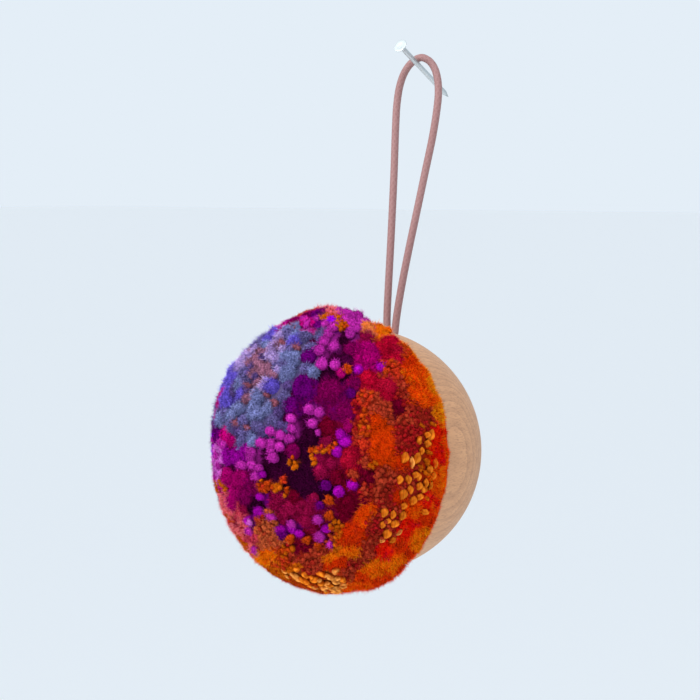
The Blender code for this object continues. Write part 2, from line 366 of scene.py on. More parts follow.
# Points of the fillet under the head: out from the shank and up from the head's underside (mm)
NAIL_FILLET = ((0.25, 0.02), (0.08, -0.10), (0.0, -0.35))
NAIL_POINT = 2.2 * MM
NAIL_POINT_SHOULDER = (0.82, 0.8)
SHANK_RINGS = (4.0 * MM, -2.0 * MM)
NAIL_SIDES = 48
ON_AXIS = 1e-7
ZINC_COLOURS = ((0.47, 0.51, 0.52, 1.0), (0.58, 0.63, 0.65, 1.0))
ZINC_SMEARS = 260.0
ZINC_ROUGHNESS, ROUGHER_SMEARS = 0.36, 0.16
ZINC_BUMP, ZINC_DEPTH = 0.03, 0.03 * MM


def arc(centre, radius, start, end, steps):
    """Points of an arc in the radius-height plane, angles in degrees from the radius axis."""
    points = []
    for step in range(steps + 1):
        angle = math.radians(start + (end - start) * step / steps)
        points.append((centre[0] + radius * math.cos(angle), centre[1] + radius * math.sin(angle)))
    return points


def skinned(form, rings):
    """Faces from each ring of points to the next, turned outward. A ring may be one point."""
    faces = []
    for upper, lower in zip(rings, rings[1:]):
        for side in range(len(upper)):
            after = (side + 1) % len(upper)
            corners = [upper[side], lower[side], lower[after], upper[after]]
            faces.append(form.faces.new(list(dict.fromkeys(corners))))
    bmesh.ops.recalc_face_normals(form, faces=faces)
    return faces


def smooth_mesh(form, name):
    """The finished mesh of a form."""
    mesh = bpy.data.meshes.new(name)
    form.to_mesh(mesh)
    form.free()
    mesh.shade_smooth()
    return mesh


def turned(name, outline, sides, placing, finish):
    """Turn an outline of (radius, height) points, listed from the top down, round its axis."""
    form = bmesh.new()
    rings = []
    for radius, height in outline:
        if radius < ON_AXIS:
            rings.append([form.verts.new((0.0, 0.0, height))] * sides)
            continue
        turns = [math.tau * side / sides for side in range(sides)]
        rings.append([form.verts.new((radius * math.cos(turn), radius * math.sin(turn), height))
                      for turn in turns])
    skinned(form, rings)
    form.transform(placing)
    mesh = smooth_mesh(form, name)
    mesh.materials.append(finish)
    return placed(name, mesh)


nail_finish, paint, shader = new_finish("galvanised_steel")
smear = paint.clouds(ZINC_SMEARS, paint.here())
paint.mix(smear, *ZINC_COLOURS).into(shader, "Base Color")
(ZINC_ROUGHNESS + smear * ROUGHER_SMEARS).into(shader, "Roughness")
paint.bumps(smear, ZINC_BUMP, ZINC_DEPTH, shader)
shader.inputs["Metallic"].default_value = 1.0

head_top = NAIL_OUT - NAIL_HEAD_DISH
under_head = NAIL_OUT - NAIL_HEAD_THICKNESS
edge_centre = (NAIL_HEAD_RADIUS - NAIL_HEAD_ROUND, NAIL_OUT - NAIL_HEAD_ROUND)
nail_outline = [(0.0, head_top), (NAIL_HEAD_RADIUS * 0.5, head_top)]
nail_outline += arc(edge_centre, NAIL_HEAD_ROUND, 90, -40, 7)
nail_outline += [(NAIL_RADIUS + out * MM, under_head + up * MM) for out, up in NAIL_FILLET]
nail_outline += [(NAIL_RADIUS, height) for height in (*SHANK_RINGS, NAIL_POINT - NAIL_BURIED)]
thinner, higher = NAIL_POINT_SHOULDER
nail_outline += [(NAIL_RADIUS * thinner, NAIL_POINT * higher - NAIL_BURIED), (0.0, -NAIL_BURIED)]
nail_placing = Matrix.Rotation(math.radians(90) - NAIL_SLOPE, 4, 'X')
nail = turned("wire_nail", nail_outline, NAIL_SIDES, nail_placing, nail_finish)
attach(nail, "root")
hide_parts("nail")


# ==== Wooden half ball ========================================================================
# Turned on a lathe from one block of pale hardwood, its grain running out of the wall, with a
# flat foot and a flat front. Sanded and left nearly bare, and drilled from above for the cord.

BALL_FRONT = 33.0 * MM
BALL_EDGE_ROUND = 0.8 * MM
FOOT_CHAMFER = 0.4 * MM
BALL_SIDES = 192
BALL_RINGS = 72
HOLE_ACROSS = -0.8 * MM
HOLE_RADIUS = 2.5 * MM
HOLE_DEPTH = 10.3 * MM
HOLE_SIDES = 64
HOLE_EDGE = (0.35 * MM, 0.45 * MM, 0.2 * MM)
DRILL_SHOULDER = 3.0 * MM
PITH = Vector((-46.0, 0.0, -97.5)) * MM
RING_WIDTH = 0.85 * MM
RING_DRIFT = 1.9 * MM
LATE_WOOD_CURVE = 2.0
GRAIN_STRETCH = (1.0, 0.16, 1.0)
DRIFT_SCALE, PORE_SCALE, FIGURE_SCALE, WARMTH_SCALE = 55.0, 4400.0, 620.0, 38.0
PORES_FROM, PORES_TO = 0.50, 0.72
WOOD_PALE = (0.545, 0.287, 0.142, 1.0)
WOOD_DEEP = (0.350, 0.178, 0.092, 1.0)
WOOD_PORE = (0.190, 0.085, 0.048, 1.0)
# How far late wood, figure and warm patches deepen the wood, and where that starts
BY_LATE_WOOD, BY_FIGURE, BY_WARMTH, WOOD_SHADE = 0.55, 1.1, 0.4, -0.60
PORE_SHADE = 0.55
WOOD_ROUGHNESS, ROUGHER_FIGURE = 0.50, 0.16
TOOL_MARKS = 150.0
MARKS_DRIFT = 0.6
# How high tool marks, pores and figure stand in the surface, and how strongly it all shows
MARKS_HIGH, PORES_HIGH, FIGURE_HIGH = 0.5, -0.8, 0.4
WOOD_BUMP, WOOD_DEPTH = 0.22, 0.08 * MM

wood_finish, paint, shader = new_finish("turned_pale_wood")
place = paint.here()
drift = paint.clouds(DRIFT_SCALE, place)
from_pith = place.vector("SUBTRACT", PITH)
across_grain = from_pith.vector("MULTIPLY", (1.0, 0.0, 1.0)).vector("LENGTH", out="Value")
year = (across_grain + drift * RING_DRIFT) / RING_WIDTH
late_wood = year.maths("FRACT") ** LATE_WOOD_CURVE
along_grain = paint.node("ShaderNodeMapping", {"Vector": place, "Scale": GRAIN_STRETCH})
pores = paint.clouds(PORE_SCALE, along_grain)
pores = paint.node("ShaderNodeMapRange", {"Value": pores, 1: PORES_FROM, 2: PORES_TO})
figure = paint.clouds(FIGURE_SCALE, along_grain, detail=4.0)
warmth = paint.clouds(WARMTH_SCALE, place, detail=1.0)
shade = late_wood * BY_LATE_WOOD + figure * BY_FIGURE + warmth * BY_WARMTH + WOOD_SHADE
tan = paint.mix(shade, WOOD_PALE, WOOD_DEEP)
paint.mix(pores * PORE_SHADE, tan, WOOD_PORE).into(shader, "Base Color")
(WOOD_ROUGHNESS + figure * ROUGHER_FIGURE).into(shader, "Roughness")
from_wall = paint.node("ShaderNodeSeparateXYZ", {0: from_pith}, "Y")
latitude = ((from_wall + BALL_CENTRE) / BALL_RADIUS).maths("ARCSINE")
tool_turn = latitude * (TOOL_MARKS / math.pi) + drift * MARKS_DRIFT
tool_marks = (tool_turn * math.tau).maths("SINE")
surface = tool_marks * MARKS_HIGH + pores * PORES_HIGH + figure * FIGURE_HIGH
paint.bumps(surface, WOOD_BUMP, WOOD_DEPTH, shader)
shader.inputs["Specular IOR Level"].default_value = 0.5

foot_angle = math.degrees(math.asin(-BALL_CENTRE / BALL_RADIUS))
front_angle = math.degrees(math.asin((BALL_FRONT - BALL_EDGE_ROUND - BALL_CENTRE) / BALL_RADIUS))
foot_radius = math.sqrt(BALL_RADIUS ** 2 - BALL_CENTRE ** 2)
side_radius = BALL_RADIUS * math.cos(math.radians(front_angle))
chamfer_angle = foot_angle + math.degrees(FOOT_CHAMFER / BALL_RADIUS)
rim_centre = (side_radius - BALL_EDGE_ROUND, BALL_FRONT - BALL_EDGE_ROUND)
ball_outline = [(0.0, BALL_FRONT), (side_radius * 0.6, BALL_FRONT)]
ball_outline += arc(rim_centre, BALL_EDGE_ROUND, 90, front_angle, 6)
ball_outline += arc((0.0, BALL_CENTRE), BALL_RADIUS, front_angle, chamfer_angle, BALL_RINGS)[1:]
ball_outline += [(foot_radius - FOOT_CHAMFER, 0.0), (foot_radius * 0.5, 0.0), (0.0, 0.0)]
ball_placing = Matrix.Translation((0.0, 0.0, -AXIS_DROP))
ball_placing = ball_placing @ Matrix.Rotation(math.radians(90), 4, 'X')
ball_blank = turned("ball_blank", ball_outline, BALL_SIDES, ball_placing, wood_finish)

wider, over, under = HOLE_EDGE
drill_outline = [
    (0.0, HOLE_DEPTH), (HOLE_RADIUS + DRILL_SHOULDER, HOLE_DEPTH), (HOLE_RADIUS + wider, over),
    (HOLE_RADIUS, -under), (HOLE_RADIUS, -HOLE_DEPTH), (0.0, -HOLE_DEPTH)]
drill_placing = Matrix.Translation((HOLE_ACROSS, -HOLE_FROM_WALL, hole_height))
drill_placing = drill_placing @ Matrix.Rotation(-math.atan(loop_lean), 4, 'X')
drill = turned("cord_drill", drill_outline, HOLE_SIDES, drill_placing, wood_finish)
hole = ball_blank.modifiers.new("cord_hole", 'BOOLEAN')
hole.operation = 'DIFFERENCE'
hole.solver = 'EXACT'
hole.object = drill
graph = bpy.context.evaluated_depsgraph_get()
ball_mesh = bpy.data.meshes.new_from_object(ball_blank.evaluated_get(graph), depsgraph=graph)
bpy.data.objects.remove(drill)
bpy.data.objects.remove(ball_blank)
half_ball = placed("turned_half_ball", ball_mesh)
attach(half_ball, "root")
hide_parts("wooden_half_ball")


# ==== Fleece of the pom pom ===================================================================
# All the yarns are bound at the middle and fan out to a bun-shaped dome. Clipped merino stands close
# and even up to its outside, and between the tufts one sees down to their lower ends, on which shade is
# painted.

PILE_RADIUS = 38.0
PILE_FRONT_HEIGHT = 27.0
PILE_BACK_CURL = 12.5
PILE_WIDEST = 38.0
PILE_SQUARENESS = 2.2
PILE_TURN_BACK = math.radians(112)
PILE_RELIEF = (
    # turn, tilt, spread (degrees), rise (mm)
    (150.0, 55.0, 24.0, 0.9), (200.0, 40.0, 20.0, 0.8), (60.0, 62.0, 18.0, 0.7),
    (15.0, 45.0, 20.0, 0.8), (265.0, 30.0, 18.0, -0.9), (110.0, 20.0, 16.0, -0.6),
    (320.0, 70.0, 26.0, -1.6), (350.0, 85.0, 20.0, -0.7), (235.0, 75.0, 22.0, 0.6),
    (0.0, 100.0, 52.0, -1.7), (345.0, 112.0, 40.0, -1.1), (50.0, 106.0, 26.0, -0.4),
    (97.0, 90.0, 16.0, 1.2), (70.0, 96.0, 14.0, -1.2), (180.0, 50.0, 22.0, -0.5),
    (294.0, 96.0, 14.0, 0.5),
)
# Under the clipped outside, in mm: the sheared fleece, the fleece between thick merino tufts,
# the ground between other tufts, and the lowest that still counts as risen
FLEECE_UNDER_OUTSIDE = 1.25
FLEECE_UNDER_DOMES = 0.5
GAPS_UNDER_OUTSIDE = {"bead": 2.0, "small": 1.3, "kernel": 1.6}
DEEPEST = 2.5
# Over how many mm the fleece's rise goes from none to full, and the least rise of upright fleece; the
# finish paints shade where the rise is low
RISE_SPAN = 1.4
LOW_FLEECE_RISE = 0.52
FLEECE_TURNS = 240
FLEECE_TILTS = 120
FLEECE_WAVE = 0.45
FLEECE_WAVE_LENGTH = 4.2 * MM
GLUED_STRIP = 0.5 * MM
FREE_OF_THE_WOOD = 4.0 * MM
RAGGED_BY_THE_WOOD = 2.0
# Fluffiness next to the wood, how far out it grows by one whole share, and its limit
FLUFF_AT_THE_WOOD, FLUFF_GROWTH, FLUFF_LIMIT = 0.7, 8.0 * MM, 1.2
# Painted shade: the ground colour is darkened by this share where tufts other than fleece stand over it
SHADED_GROUND = 0.65
RAGGED_EDGE = 0.8 * MM
STRAYING = 0.25 * MM
STRAY_SHARE = 0.36
EVEN_STRAY_SHARE = 0.14
FLEECE_SEED = 3
WANDER_SEED = 3
CHART_MIDDLE = Vector((0.0, -38.0, -99.5)) * MM
OUT_OF_SIGHT = 1e9
# The fleece's own map: a disc, and the hidden back of the shell small in a corner
DISC_MIDDLE, DISC_REACH = 0.5, 0.48
BACK_CORNER, BACK_PER_METRE = 0.03, 0.5

# How much the fibres and the mottling count for in the shades of yarn, and what they are like
FINE_SCALE, MOTTLE_SCALE = 2600.0, 900.0
FINE_SHARE, MOTTLE_SHARE = 0.6, 0.4
YARN_BUMP = 0.7
YARN_ROUGHNESS = 0.95
BRIGHTEST = (0.95, 0.95, 0.95)
# Warm hue of the painted shade on a hard slub kernel's low flanks
SLUB_FLANK_SHADE_HUE = (1.0, 0.50, 0.22, 1.0)
WHITE = (1.0, 1.0, 1.0, 1.0)

# Each yarn: its colour as it looks (red, green, blue of 255), the form its tufts take, their
# width (mm), how far they stand above the even pile (mm), how fluffy they are (usually 1), and
# the yarns that are mixed in with it.
YARNS = {
    "slate": ((96, 86, 138), "bead", 3.0, 0.2, 1.5, ("steel", "steel", "dusk", "lavender")),
    "steel": ((110, 115, 163), "bead", 2.9, 0.3, 1.5, ("slate",)),
    "dusk": ((86, 66, 122), "bead", 2.8, -0.1, 1.5, ("slate", "dark_plum")),
    "lavender": ((158, 134, 192), "bead", 2.4, 0.2, 1.5, ("steel", "mauve")),
    "ultramarine": ((98, 80, 184), "bead", 2.9, 0.2, 1.4, ("dusk",)),
    "mauve": ((134, 86, 110), "bead", 2.3, 0.1, 1.2, ("dusk", "mauve")),
    "copper": ((136, 76, 92), "small", 1.1, 0.0, 1.6, ("mauve",)),
    "pale_orchid": ((178, 82, 172), "bead", 2.6, 0.2, 1.0, ("orchid",)),
    "orchid": ((162, 36, 143), "bead", 2.5, 0.4, 1.05, ("orchid",)),
    "fuchsia": ((170, 4, 106), "fleece", 3.4, 0.1, 0.9, ("magenta", "orchid")),
    "violet": ((88, 2, 94), "fleece", 4.6, 0.2, 0.9, ("violet", "plum")),
    "bright_violet": ((132, 2, 184), "bead", 3.0, 0.2, 0.9, ("violet",)),
    "purple": ((140, 6, 140), "bead", 3.0, 0.2, 0.9, ("purple", "violet")),
    "plum": ((112, 2, 72), "fleece", 4.6, 0.0, 1.0, ("plum", "violet")),
    "dark_plum": ((66, 4, 50), "fleece", 3.0, -0.9, 1.0, ("aubergine",)),
    "aubergine": ((50, 4, 38), "fleece", 3.4, -1.1, 1.0, ("dark_plum",)),
    "magenta": ((152, 2, 96), "fleece", 4.2, 0.1, 1.0, ("plum", "fuchsia")),
    "cerise": ((150, 4, 94), "fleece", 4.4, 0.0, 1.0, ("magenta",)),
    "amethyst": ((138, 6, 136), "fleece", 4.0, 0.0, 1.0, ()),
    "raspberry": ((132, 10, 58), "fleece", 3.4, -0.2, 1.0, ("raspberry", "wine", "plum")),
    "wine": ((106, 2, 34), "fleece", 3.2, -0.4, 1.0, ("red_tuft", "raspberry")),
    "crimson": ((172, 8, 44), "fleece", 3.8, 0.0, 1.0, ("rose", "crimson")),
    "rose": ((164, 13, 46), "fleece", 3.4, 0.1, 1.0, ("crimson",)),
    "dusty_rose": ((184, 52, 74), "fleece", 3.0, 0.0, 1.0, ("coral", "raspberry")),
    "coral": ((220, 92, 98), "fleece", 3.0, 0.1, 1.0, ("rose",)),
    "vermilion": ((234, 24, 9), "fleece", 3.4, 0.0, 1.0, ("crimson", "orange")),
    "orange": ((242, 74, 6), "fleece", 3.6, 0.0, 1.0, ("tangerine", "ember")),
    "flame": ((214, 62, 5), "fleece", 3.6, 0.0, 1.0, ("orange", "ember")),
    "ember": ((214, 50, 6), "fleece", 3.4, -0.1, 1.0, ("rust", "orange")),
    "tangerine": ((240, 106, 8), "fleece", 3.2, 0.0, 1.0, ("orange",)),
    "marigold": ((250, 126, 10), "fleece", 3.0, 0.1, 1.1, ("tangerine",)),
    "apricot": ((208, 108, 54), "fleece", 3.0, 0.0, 1.0, ("coral", "tangerine")),
    "orange_tuft": ((168, 56, 12), "small", 1.2, 0.1, 1.1, ("ochre", "paprika", "paprika")),
    "nutmeg": ((170, 76, 42), "small", 1.25, 0.0, 1.1, ("nutmeg", "brick")),
    "paprika": ((182, 46, 24), "small", 1.25, 0.0, 1.1, ("brick", "orange_tuft")),
    "ochre": ((168, 78, 8), "small", 1.3, 0.2, 0.9, ("orange_tuft",)),
    "gold": ((166, 90, 20), "kernel", 2.0, 0.3, 0.05, ("brick", "ember")),
    "straw": ((172, 112, 50), "kernel", 1.7, 0.1, 0.05, ("gold", "brick")),
    "rust": ((140, 32, 22), "small", 1.2, -0.2, 1.0, ("brick", "red_tuft")),
    "brick": ((156, 50, 30), "small", 1.25, 0.0, 1.0, ("rust",)),
    "red_tuft": ((148, 20, 24), "small", 1.2, -0.2, 1.0, ("rust",)),
}
EVEN_FLEECE = ("orange", "flame", "vermilion", "ember", "tangerine", "marigold", "apricot",
               "aubergine", "coral")
YARN_ROWS = {yarn: row for row, yarn in enumerate(YARNS)}

# Beds of each yarn on the side that faces the viewer, on a chart squared up to the viewer:
# middle (across, up), width and height in mm, and lean in degrees if there is any.
BEDS = {
    "slate": (
        (-25.6, 4.2, 6, 4), (-15.5, 31.5, 9, 6), (-13.0, 23.0, 9, 11), (-6.0, 32.0, 4, 3),
        (-22.5, 10.5, 14, 6), (-31.0, 8.5, 4.6, 6), (-17.5, 14.0, 7, 4),
    ),
    "steel": ((-26.8, 19.0, 1.8, 6), (-27.0, 8.0, 5, 5)),
    "dusk": ((-22.0, 5.0, 12, 6), (-16.2, 9.5, 4, 6), (-14.2, 14.6, 3, 7), (-6.2, 30.4, 4, 3.4)),
    "lavender": (
        (-17.5, 27.5, 6, 4), (-24.8, 26.2, 4, 3, 30), (-20.5, 17.5, 5, 4), (-26.8, 23.6, 2.4, 6, -25),
    ),
    "ultramarine": ((-28.9, 16.2, 2.8, 11, -10), (-29.3, 11.5, 4, 5, -10)),
    "mauve": ((-22.8, 22.8, 9, 9), (-23.8, 17.2, 6, 6)),
    "pale_orchid": ((-32.8, -0.6, 3.8, 9), (-33.4, -6.4, 1.4, 4, 10), (-9.5, 34.6, 7, 2.6, 10)),
    "orchid": (
        (-18.4, 3.2, 7, 3.4, 35), (-24.0, -1.6, 4.4, 3.4), (-13.0, 6.4, 2.0, 6.4),
        (-6.8, 10.2, 3.0, 3.4), (-1.6, 30.5, 4, 7), (3.4, 31.8, 4, 4), (-5.4, 27.0, 4, 3),
        (3.2, 36.4, 5, 2, -10),
    ),
    "fuchsia": (
        (-32.9, 14.5, 1.2, 9, -8), (-30.9, 4.0, 1.9, 8, 5), (-8.2, 33.8, 6, 2, 5),
        (-16.0, 34.0, 6, 1.6, 25),
    ),
    "violet": ((-10.0, 17.5, 7, 8), (-12.5, 12.5, 5, 5)),
    "bright_violet": ((-34.0, 5.0, 1.4, 4), (-2.4, 34.4, 3.2, 2.6)),
    "purple": (
        (0.2, 3.0, 2.6, 5, 15), (-14.5, -21.6, 6, 3), (-21.4, -13.4, 3, 4),
        (-24.0, -19.6, 1.8, 3.6, 10),
    ),
    "plum": (
        (-25.5, -9.0, 5, 8), (-13.7, 0.8, 2.6, 4), (-2.0, 15.2, 9, 8), (0.5, 10.5, 8, 4),
        (-7.5, 36.8, 7, 1.8, 10), (3.8, 23.0, 2.6, 4),
    ),
    "dark_plum": (
        (-30.0, -4.5, 6, 3.0), (-24.0, -14.0, 6, 5), (-10.0, 8.0, 3.8, 5), (-10.0, 5.0, 4.4, 8),
        (-8.0, 4.5, 5, 8, 10), (-2.8, 25.5, 5, 5), (0.5, 30.6, 4, 4), (-4.2, 19.9, 8, 4.8),
        (1.2, 26.8, 3.8, 7),
    ),
    "aubergine": (
        (-20.5, -1.0, 4, 5), (-19.3, -6.2, 4, 4), (-11.6, 0.6, 6, 6), (-15.0, -1.4, 4, 5),
        (-9.8, -4.0, 4.0, 6), (-6.4, -9.6, 5, 7), (-18.6, -6.4, 3, 2), (-11.0, -8.4, 12, 8),
    ),
    "magenta": ((7.6, 25.6, 7, 8),),
    "cerise": ((-29.3, -9.0, 5, 9),),
    "amethyst": ((-28.2, -1.4, 5.2, 4.2),),
    "raspberry": (
        (-27.6, -19.4, 2, 5, 25), (7.0, 30.4, 5, 3), (-17.5, -13.0, 5, 4), (-4.2, -4.4, 6, 6),
        (-15.0, -17.0, 6, 8), (-9.0, -14.8, 4, 4), (-9.0, -18.0, 4, 5), (-5.4, -19.6, 5, 9),
        (-18.0, -13.5, 4, 5), (-2.6, -17.6, 3.6, 4),
    ),
    "wine": (
        (-5.6, -3.6, 3.4, 3), (-3.0, 5.8, 6, 7), (15.6, 11.6, 4, 5.5), (7.0, -6.6, 5, 6),
        (-0.4, -6.6, 4, 5), (1.5, -14.5, 6, 9, -15), (4.0, -11.5, 4, 5), (4.8, -14.4, 3, 4),
        (-12.6, -14.4, 3, 6), (-12.0, -24.6, 6, 5),
    ),
    "crimson": (
        (7.0, 20.0, 6, 5), (11.8, 27.0, 6, 7, -30), (12.2, 17.4, 7, 6), (13.8, 29.6, 3, 3),
        (6.1, 2.2, 3.6, 3.8),
    ),
    "rose": ((2.9, -1.6, 5.6, 6),),
    "dusty_rose": ((-28.4, -16.0, 4.4, 6, 15), (-24.2, -23.8, 3.4, 5, 25)),
    "coral": ((-31.4, -13.2, 3.0, 7, 15), (-26.8, -20.3, 3.4, 8, 25), (-2.6, 37.4, 6, 1.6)),
    "vermilion": (
        (26.4, 1.5, 4, 13), (24.2, -13.0, 4, 6, 15), (18.0, -21.0, 7, 8, 25), (12.3, -26.5, 6, 5),
    ),
    "orange": (
        (20.8, 19.5, 7, 12, 15), (22.8, 14.8, 5, 5), (28.3, 1.5, 1.2, 9), (25.6, -15.5, 1.6, 8, 20),
        (26.0, -8.0, 4, 8, 8), (19.5, -16.5, 6, 5), (6.5, -17.0, 6, 8, -20), (4.2, -35.6, 8, 2.4, 5),
    ),
    "flame": ((10.8, 4.4, 7, 13, 10), (12.0, -1.5, 6, 5), (8.6, -1.0, 3, 6)),
    "ember": (
        (18.6, 24.0, 5, 5), (23.2, -18.6, 3, 5, 20), (17.6, -3.0, 5, 6), (16.5, -12.0, 5, 8),
        (16.0, -26.0, 6, 5), (3.4, -22.0, 7, 8, -25), (6.0, -33.6, 5, 3), (11.6, -34.0, 5, 3, 20),
        (-0.5, -30.4, 8, 3.4, 5),
    ),
    "tangerine": (
        (11.4, 31.4, 5.5, 3, -35), (27.6, -7.5, 1.6, 9, 8), (20.8, -23.2, 4.4, 8, 30),
        (16.0, -29.3, 4, 3), (2.6, -26.6, 5, 4), (9.8, -31.6, 9, 5, 10), (13.2, -31.5, 3, 4),
        (-3.0, -28.0, 6, 3, 15), (-19.4, -28.0, 5, 5),
    ),
    "marigold": (
        (24.4, 18.2, 1.8, 6, 15), (26.0, 10.4, 2, 4), (27.2, 9.2, 1.6, 6, 4), (23.6, -21.4, 1.4, 6, 30),
    ),
    "apricot": ((7.4, 33.4, 5, 2.4, -20),),
    "orange_tuft": (
        (-30.2, -17.8, 1.1, 3, 25), (17.4, 27.8, 3.6, 3, -40), (5.9, 8.0, 3.4, 8),
        (-4.6, 1.6, 3.2, 3.2), (-20.2, -8.8, 2.6, 1.9, -20), (-16.2, -7.6, 1.8, 2.2),
        (-14.7, -11.0, 1.6, 2.2, 10), (-9.5, -36.0, 9, 1.6, -15), (-16.8, -29.4, 5, 4),
    ),
    "nutmeg": ((-20.6, -22.0, 5.4, 9), (-17.2, -24.4, 5, 4)),
    "paprika": ((13.8, 22.4, 5, 6), (7.6, 13.5, 5, 5)),
    "ochre": (
        (-32.6, -9.4, 1.2, 3.4, 20), (-26.2, -24.2, 1.2, 5, 35), (-2.4, 36.4, 7, 1.6),
        (1.0, 34.0, 3, 2), (-7.2, -0.9, 2.2, 4.6, -10), (-12.9, -2.7, 2.6, 2.2),
        (-17.8, -9.8, 2.2, 1.5), (-12.6, -30.8, 4, 3), (-17.0, -32.2, 8, 1.8, -25),
        (-15.4, -26.4, 4, 3), (-2.0, -25.6, 3, 2.4), (-0.6, -21.2, 2.4, 3),
    ),
    "gold": ((23.2, 2.5, 3, 6), (22.0, -3.0, 6, 6), (22.2, -8.0, 5, 6), (-7.4, -34.4, 6, 3, -10)),
    "straw": ((-2.4, -34.9, 6, 3.6), (-11.4, -33.0, 5, 2.4, -25)),
    "rust": (
        (16.8, 17.4, 3, 6, 15), (4.6, 3.6, 2, 4), (18.0, 8.5, 6, 4), (20.5, 11.0, 5, 4),
        (23.5, 9.0, 3, 5), (18.6, -8.5, 7, 8), (13.0, -18.5, 7, 9), (6.3, -2.5, 3, 4),
        (8.0, -11.5, 5, 5, -30), (13.0, -11.5, 4, 6), (9.0, -20.0, 4, 8, -20), (4.5, -29.8, 6, 3, 20),
    ),
    "brick": (
        (9.5, 12.5, 5, 4), (13.0, 10.5, 5, 5), (10.5, -8.5, 6, 7, -30), (12.0, -6.0, 5, 4),
        (8.0, -25.5, 5, 6, -20), (2.2, -32.4, 3.4, 3.6), (-8.0, -29.0, 7, 5), (-4.5, -26.6, 4, 4),
        (-12.5, -28.5, 5, 4), (-21.6, -18.4, 3, 4),
    ),
    "red_tuft": (
        (4.8, 11.6, 3, 5), (4.2, 9.0, 2, 8), (7.0, 8.6, 3, 4), (17.5, 4.2, 6, 7), (19.8, 2.4, 5, 8),
        (3.2, -5.9, 4, 2.4),
    ),
}
# Beds on the sides that the viewer can't see: turn from the viewer's right, tilt from the front
# and spread, all in degrees. They carry on the colours next to them.
FAR_BEDS = {
    "slate": ((136, 78, 12), (152, 84, 12), (164, 66, 11)),
    "dusk": ((150, 102, 12),),
    "lavender": ((138, 96, 13),),
    "ultramarine": ((148, 70, 11),),
    "mauve": ((164, 78, 11),),
    "pale_orchid": ((180, 76, 11),),
    "orchid": ((184, 103, 12), (82, 96, 9)),
    "fuchsia": ((122, 88, 12), (168, 108, 11)),
    "violet": ((166, 93, 12),),
    "bright_violet": ((178, 64, 10),),
    "purple": ((182, 89, 12),),
    "plum": ((124, 104, 12), (196, 80, 11)),
    "magenta": ((194, 66, 10), (90, 104, 12)),
    "crimson": ((212, 86, 11),),
    "rose": ((198, 95, 12),),
    "coral": ((210, 72, 11), (98, 96, 9)),
    "vermilion": ((246, 101, 12), (12, 106, 12)),
    "orange": ((200, 109, 10), (226, 80, 11), (262, 98, 12), (72, 104, 12), (350, 106, 12)),
    "ember": ((230, 107, 11), (280, 102, 13), (328, 106, 12), (304, 104, 12)),
    "tangerine": ((214, 101, 12), (52, 104, 12), (32, 106, 12)),
    "orange_tuft": ((108, 96, 12), (242, 88, 11)),
    "gold": ((228, 93, 11),),
}


def with_lean(row):
    """A row of the chart with its lean, which is 0 where none is written."""
    return (*row, 0)[:5]


def direction(turn, tilt):
    return Vector((math.sin(tilt) * math.cos(turn), math.sin(tilt) * math.sin(turn), math.cos(tilt)))


def pile_rise(turn, tilt):
    """How far the clipped pile stands out of its even form in one direction, in mm."""
    here = direction(turn, tilt)
    rise = 0.0
    for turn_deg, tilt_deg, spread_deg, height in PILE_RELIEF:
        there = direction(math.radians(turn_deg), math.radians(tilt_deg))
        away = here.angle(there) / math.radians(spread_deg)
        rise += height * math.exp(-away * away)
    return rise


def pile_point(turn, tilt):
    """Point of the pile's clipped outside, in the frame."""
    side, front = abs(math.sin(tilt)), math.cos(tilt)
    rise = pile_rise(turn, tilt)
    if front >= 0.0:
        power = 2.0 / PILE_SQUARENESS
        radius = (PILE_RADIUS + rise) * side ** power
        height = (PILE_FRONT_HEIGHT + rise) * front ** power
    else:
        radius = (PILE_RADIUS + rise) * side
        height = PILE_BACK_CURL * front
    return Vector((radius * math.cos(turn) * MM, -(PILE_WIDEST + height) * MM,
                   radius * math.sin(turn) * MM - AXIS_DROP))


def pile_shell(name, turns, tilts):
    """Closed shell of the pile's outside, from the pole at the front to the edge at the back."""
    form = bmesh.new()
    sheet = form.loops.layers.uv.new("OFBake")
    rings, flat = [], {}
    for step in range(tilts + 1):
        share = step / tilts
        ring = []
        for i in range(turns if step else 1):
            turn = math.tau * i / turns
            vertex = form.verts.new(pile_point(turn, PILE_TURN_BACK * share))
            reach = DISC_REACH * share
            flat[vertex] = Vector((DISC_MIDDLE + reach * math.cos(turn),
                                   DISC_MIDDLE + reach * math.sin(turn)))
            ring.append(vertex)
        rings.append(ring if step else ring * turns)
    middle = form.verts.new((0.0, rings[-1][0].co.y, -AXIS_DROP))
    rings.append([middle] * turns)
    for face in skinned(form, rings):
        at_back = middle in face.verts
        for corner in face.loops:
            co = corner.vert.co
            on_back = (BACK_CORNER + co.x * BACK_PER_METRE,
                       BACK_CORNER + (co.z + AXIS_DROP) * BACK_PER_METRE)
            corner[sheet].uv = on_back if at_back else flat[corner.vert]
    return smooth_mesh(form, name)


def seen(yarn):
    """The light that a yarn's colour stands for."""
    light = []
    for part in YARNS[yarn][0]:
        part /= 255
        light.append(part / 12.92 if part <= 0.04045 else ((part + 0.055) / 1.055) ** 2.4)
    return Vector(light)


def noted(mesh, label, kind, values, domain='POINT'):
    """Store one value for each point or face of a mesh under a name."""
    part = {'FLOAT': "value", 'FLOAT_VECTOR': "vector", 'FLOAT_COLOR': "color"}[kind]
    layer = mesh.attributes.new(label, kind, domain)
    layer.data.foreach_set(part, np.array(values, dtype=np.float32).ravel())


chart = np.array([with_lean(bed) for beds in BEDS.values() for bed in beds])
far_beds = [bed for beds in FAR_BEDS.values() for bed in beds]
far_chart = np.array([direction(math.radians(turn), math.radians(tilt))
                      for turn, tilt, spread in far_beds])
far_spread = np.radians([spread for turn, tilt, spread in far_beds])
bed_yarns = [yarn for table in (BEDS, FAR_BEDS) for yarn, beds in table.items() for bed in beds]


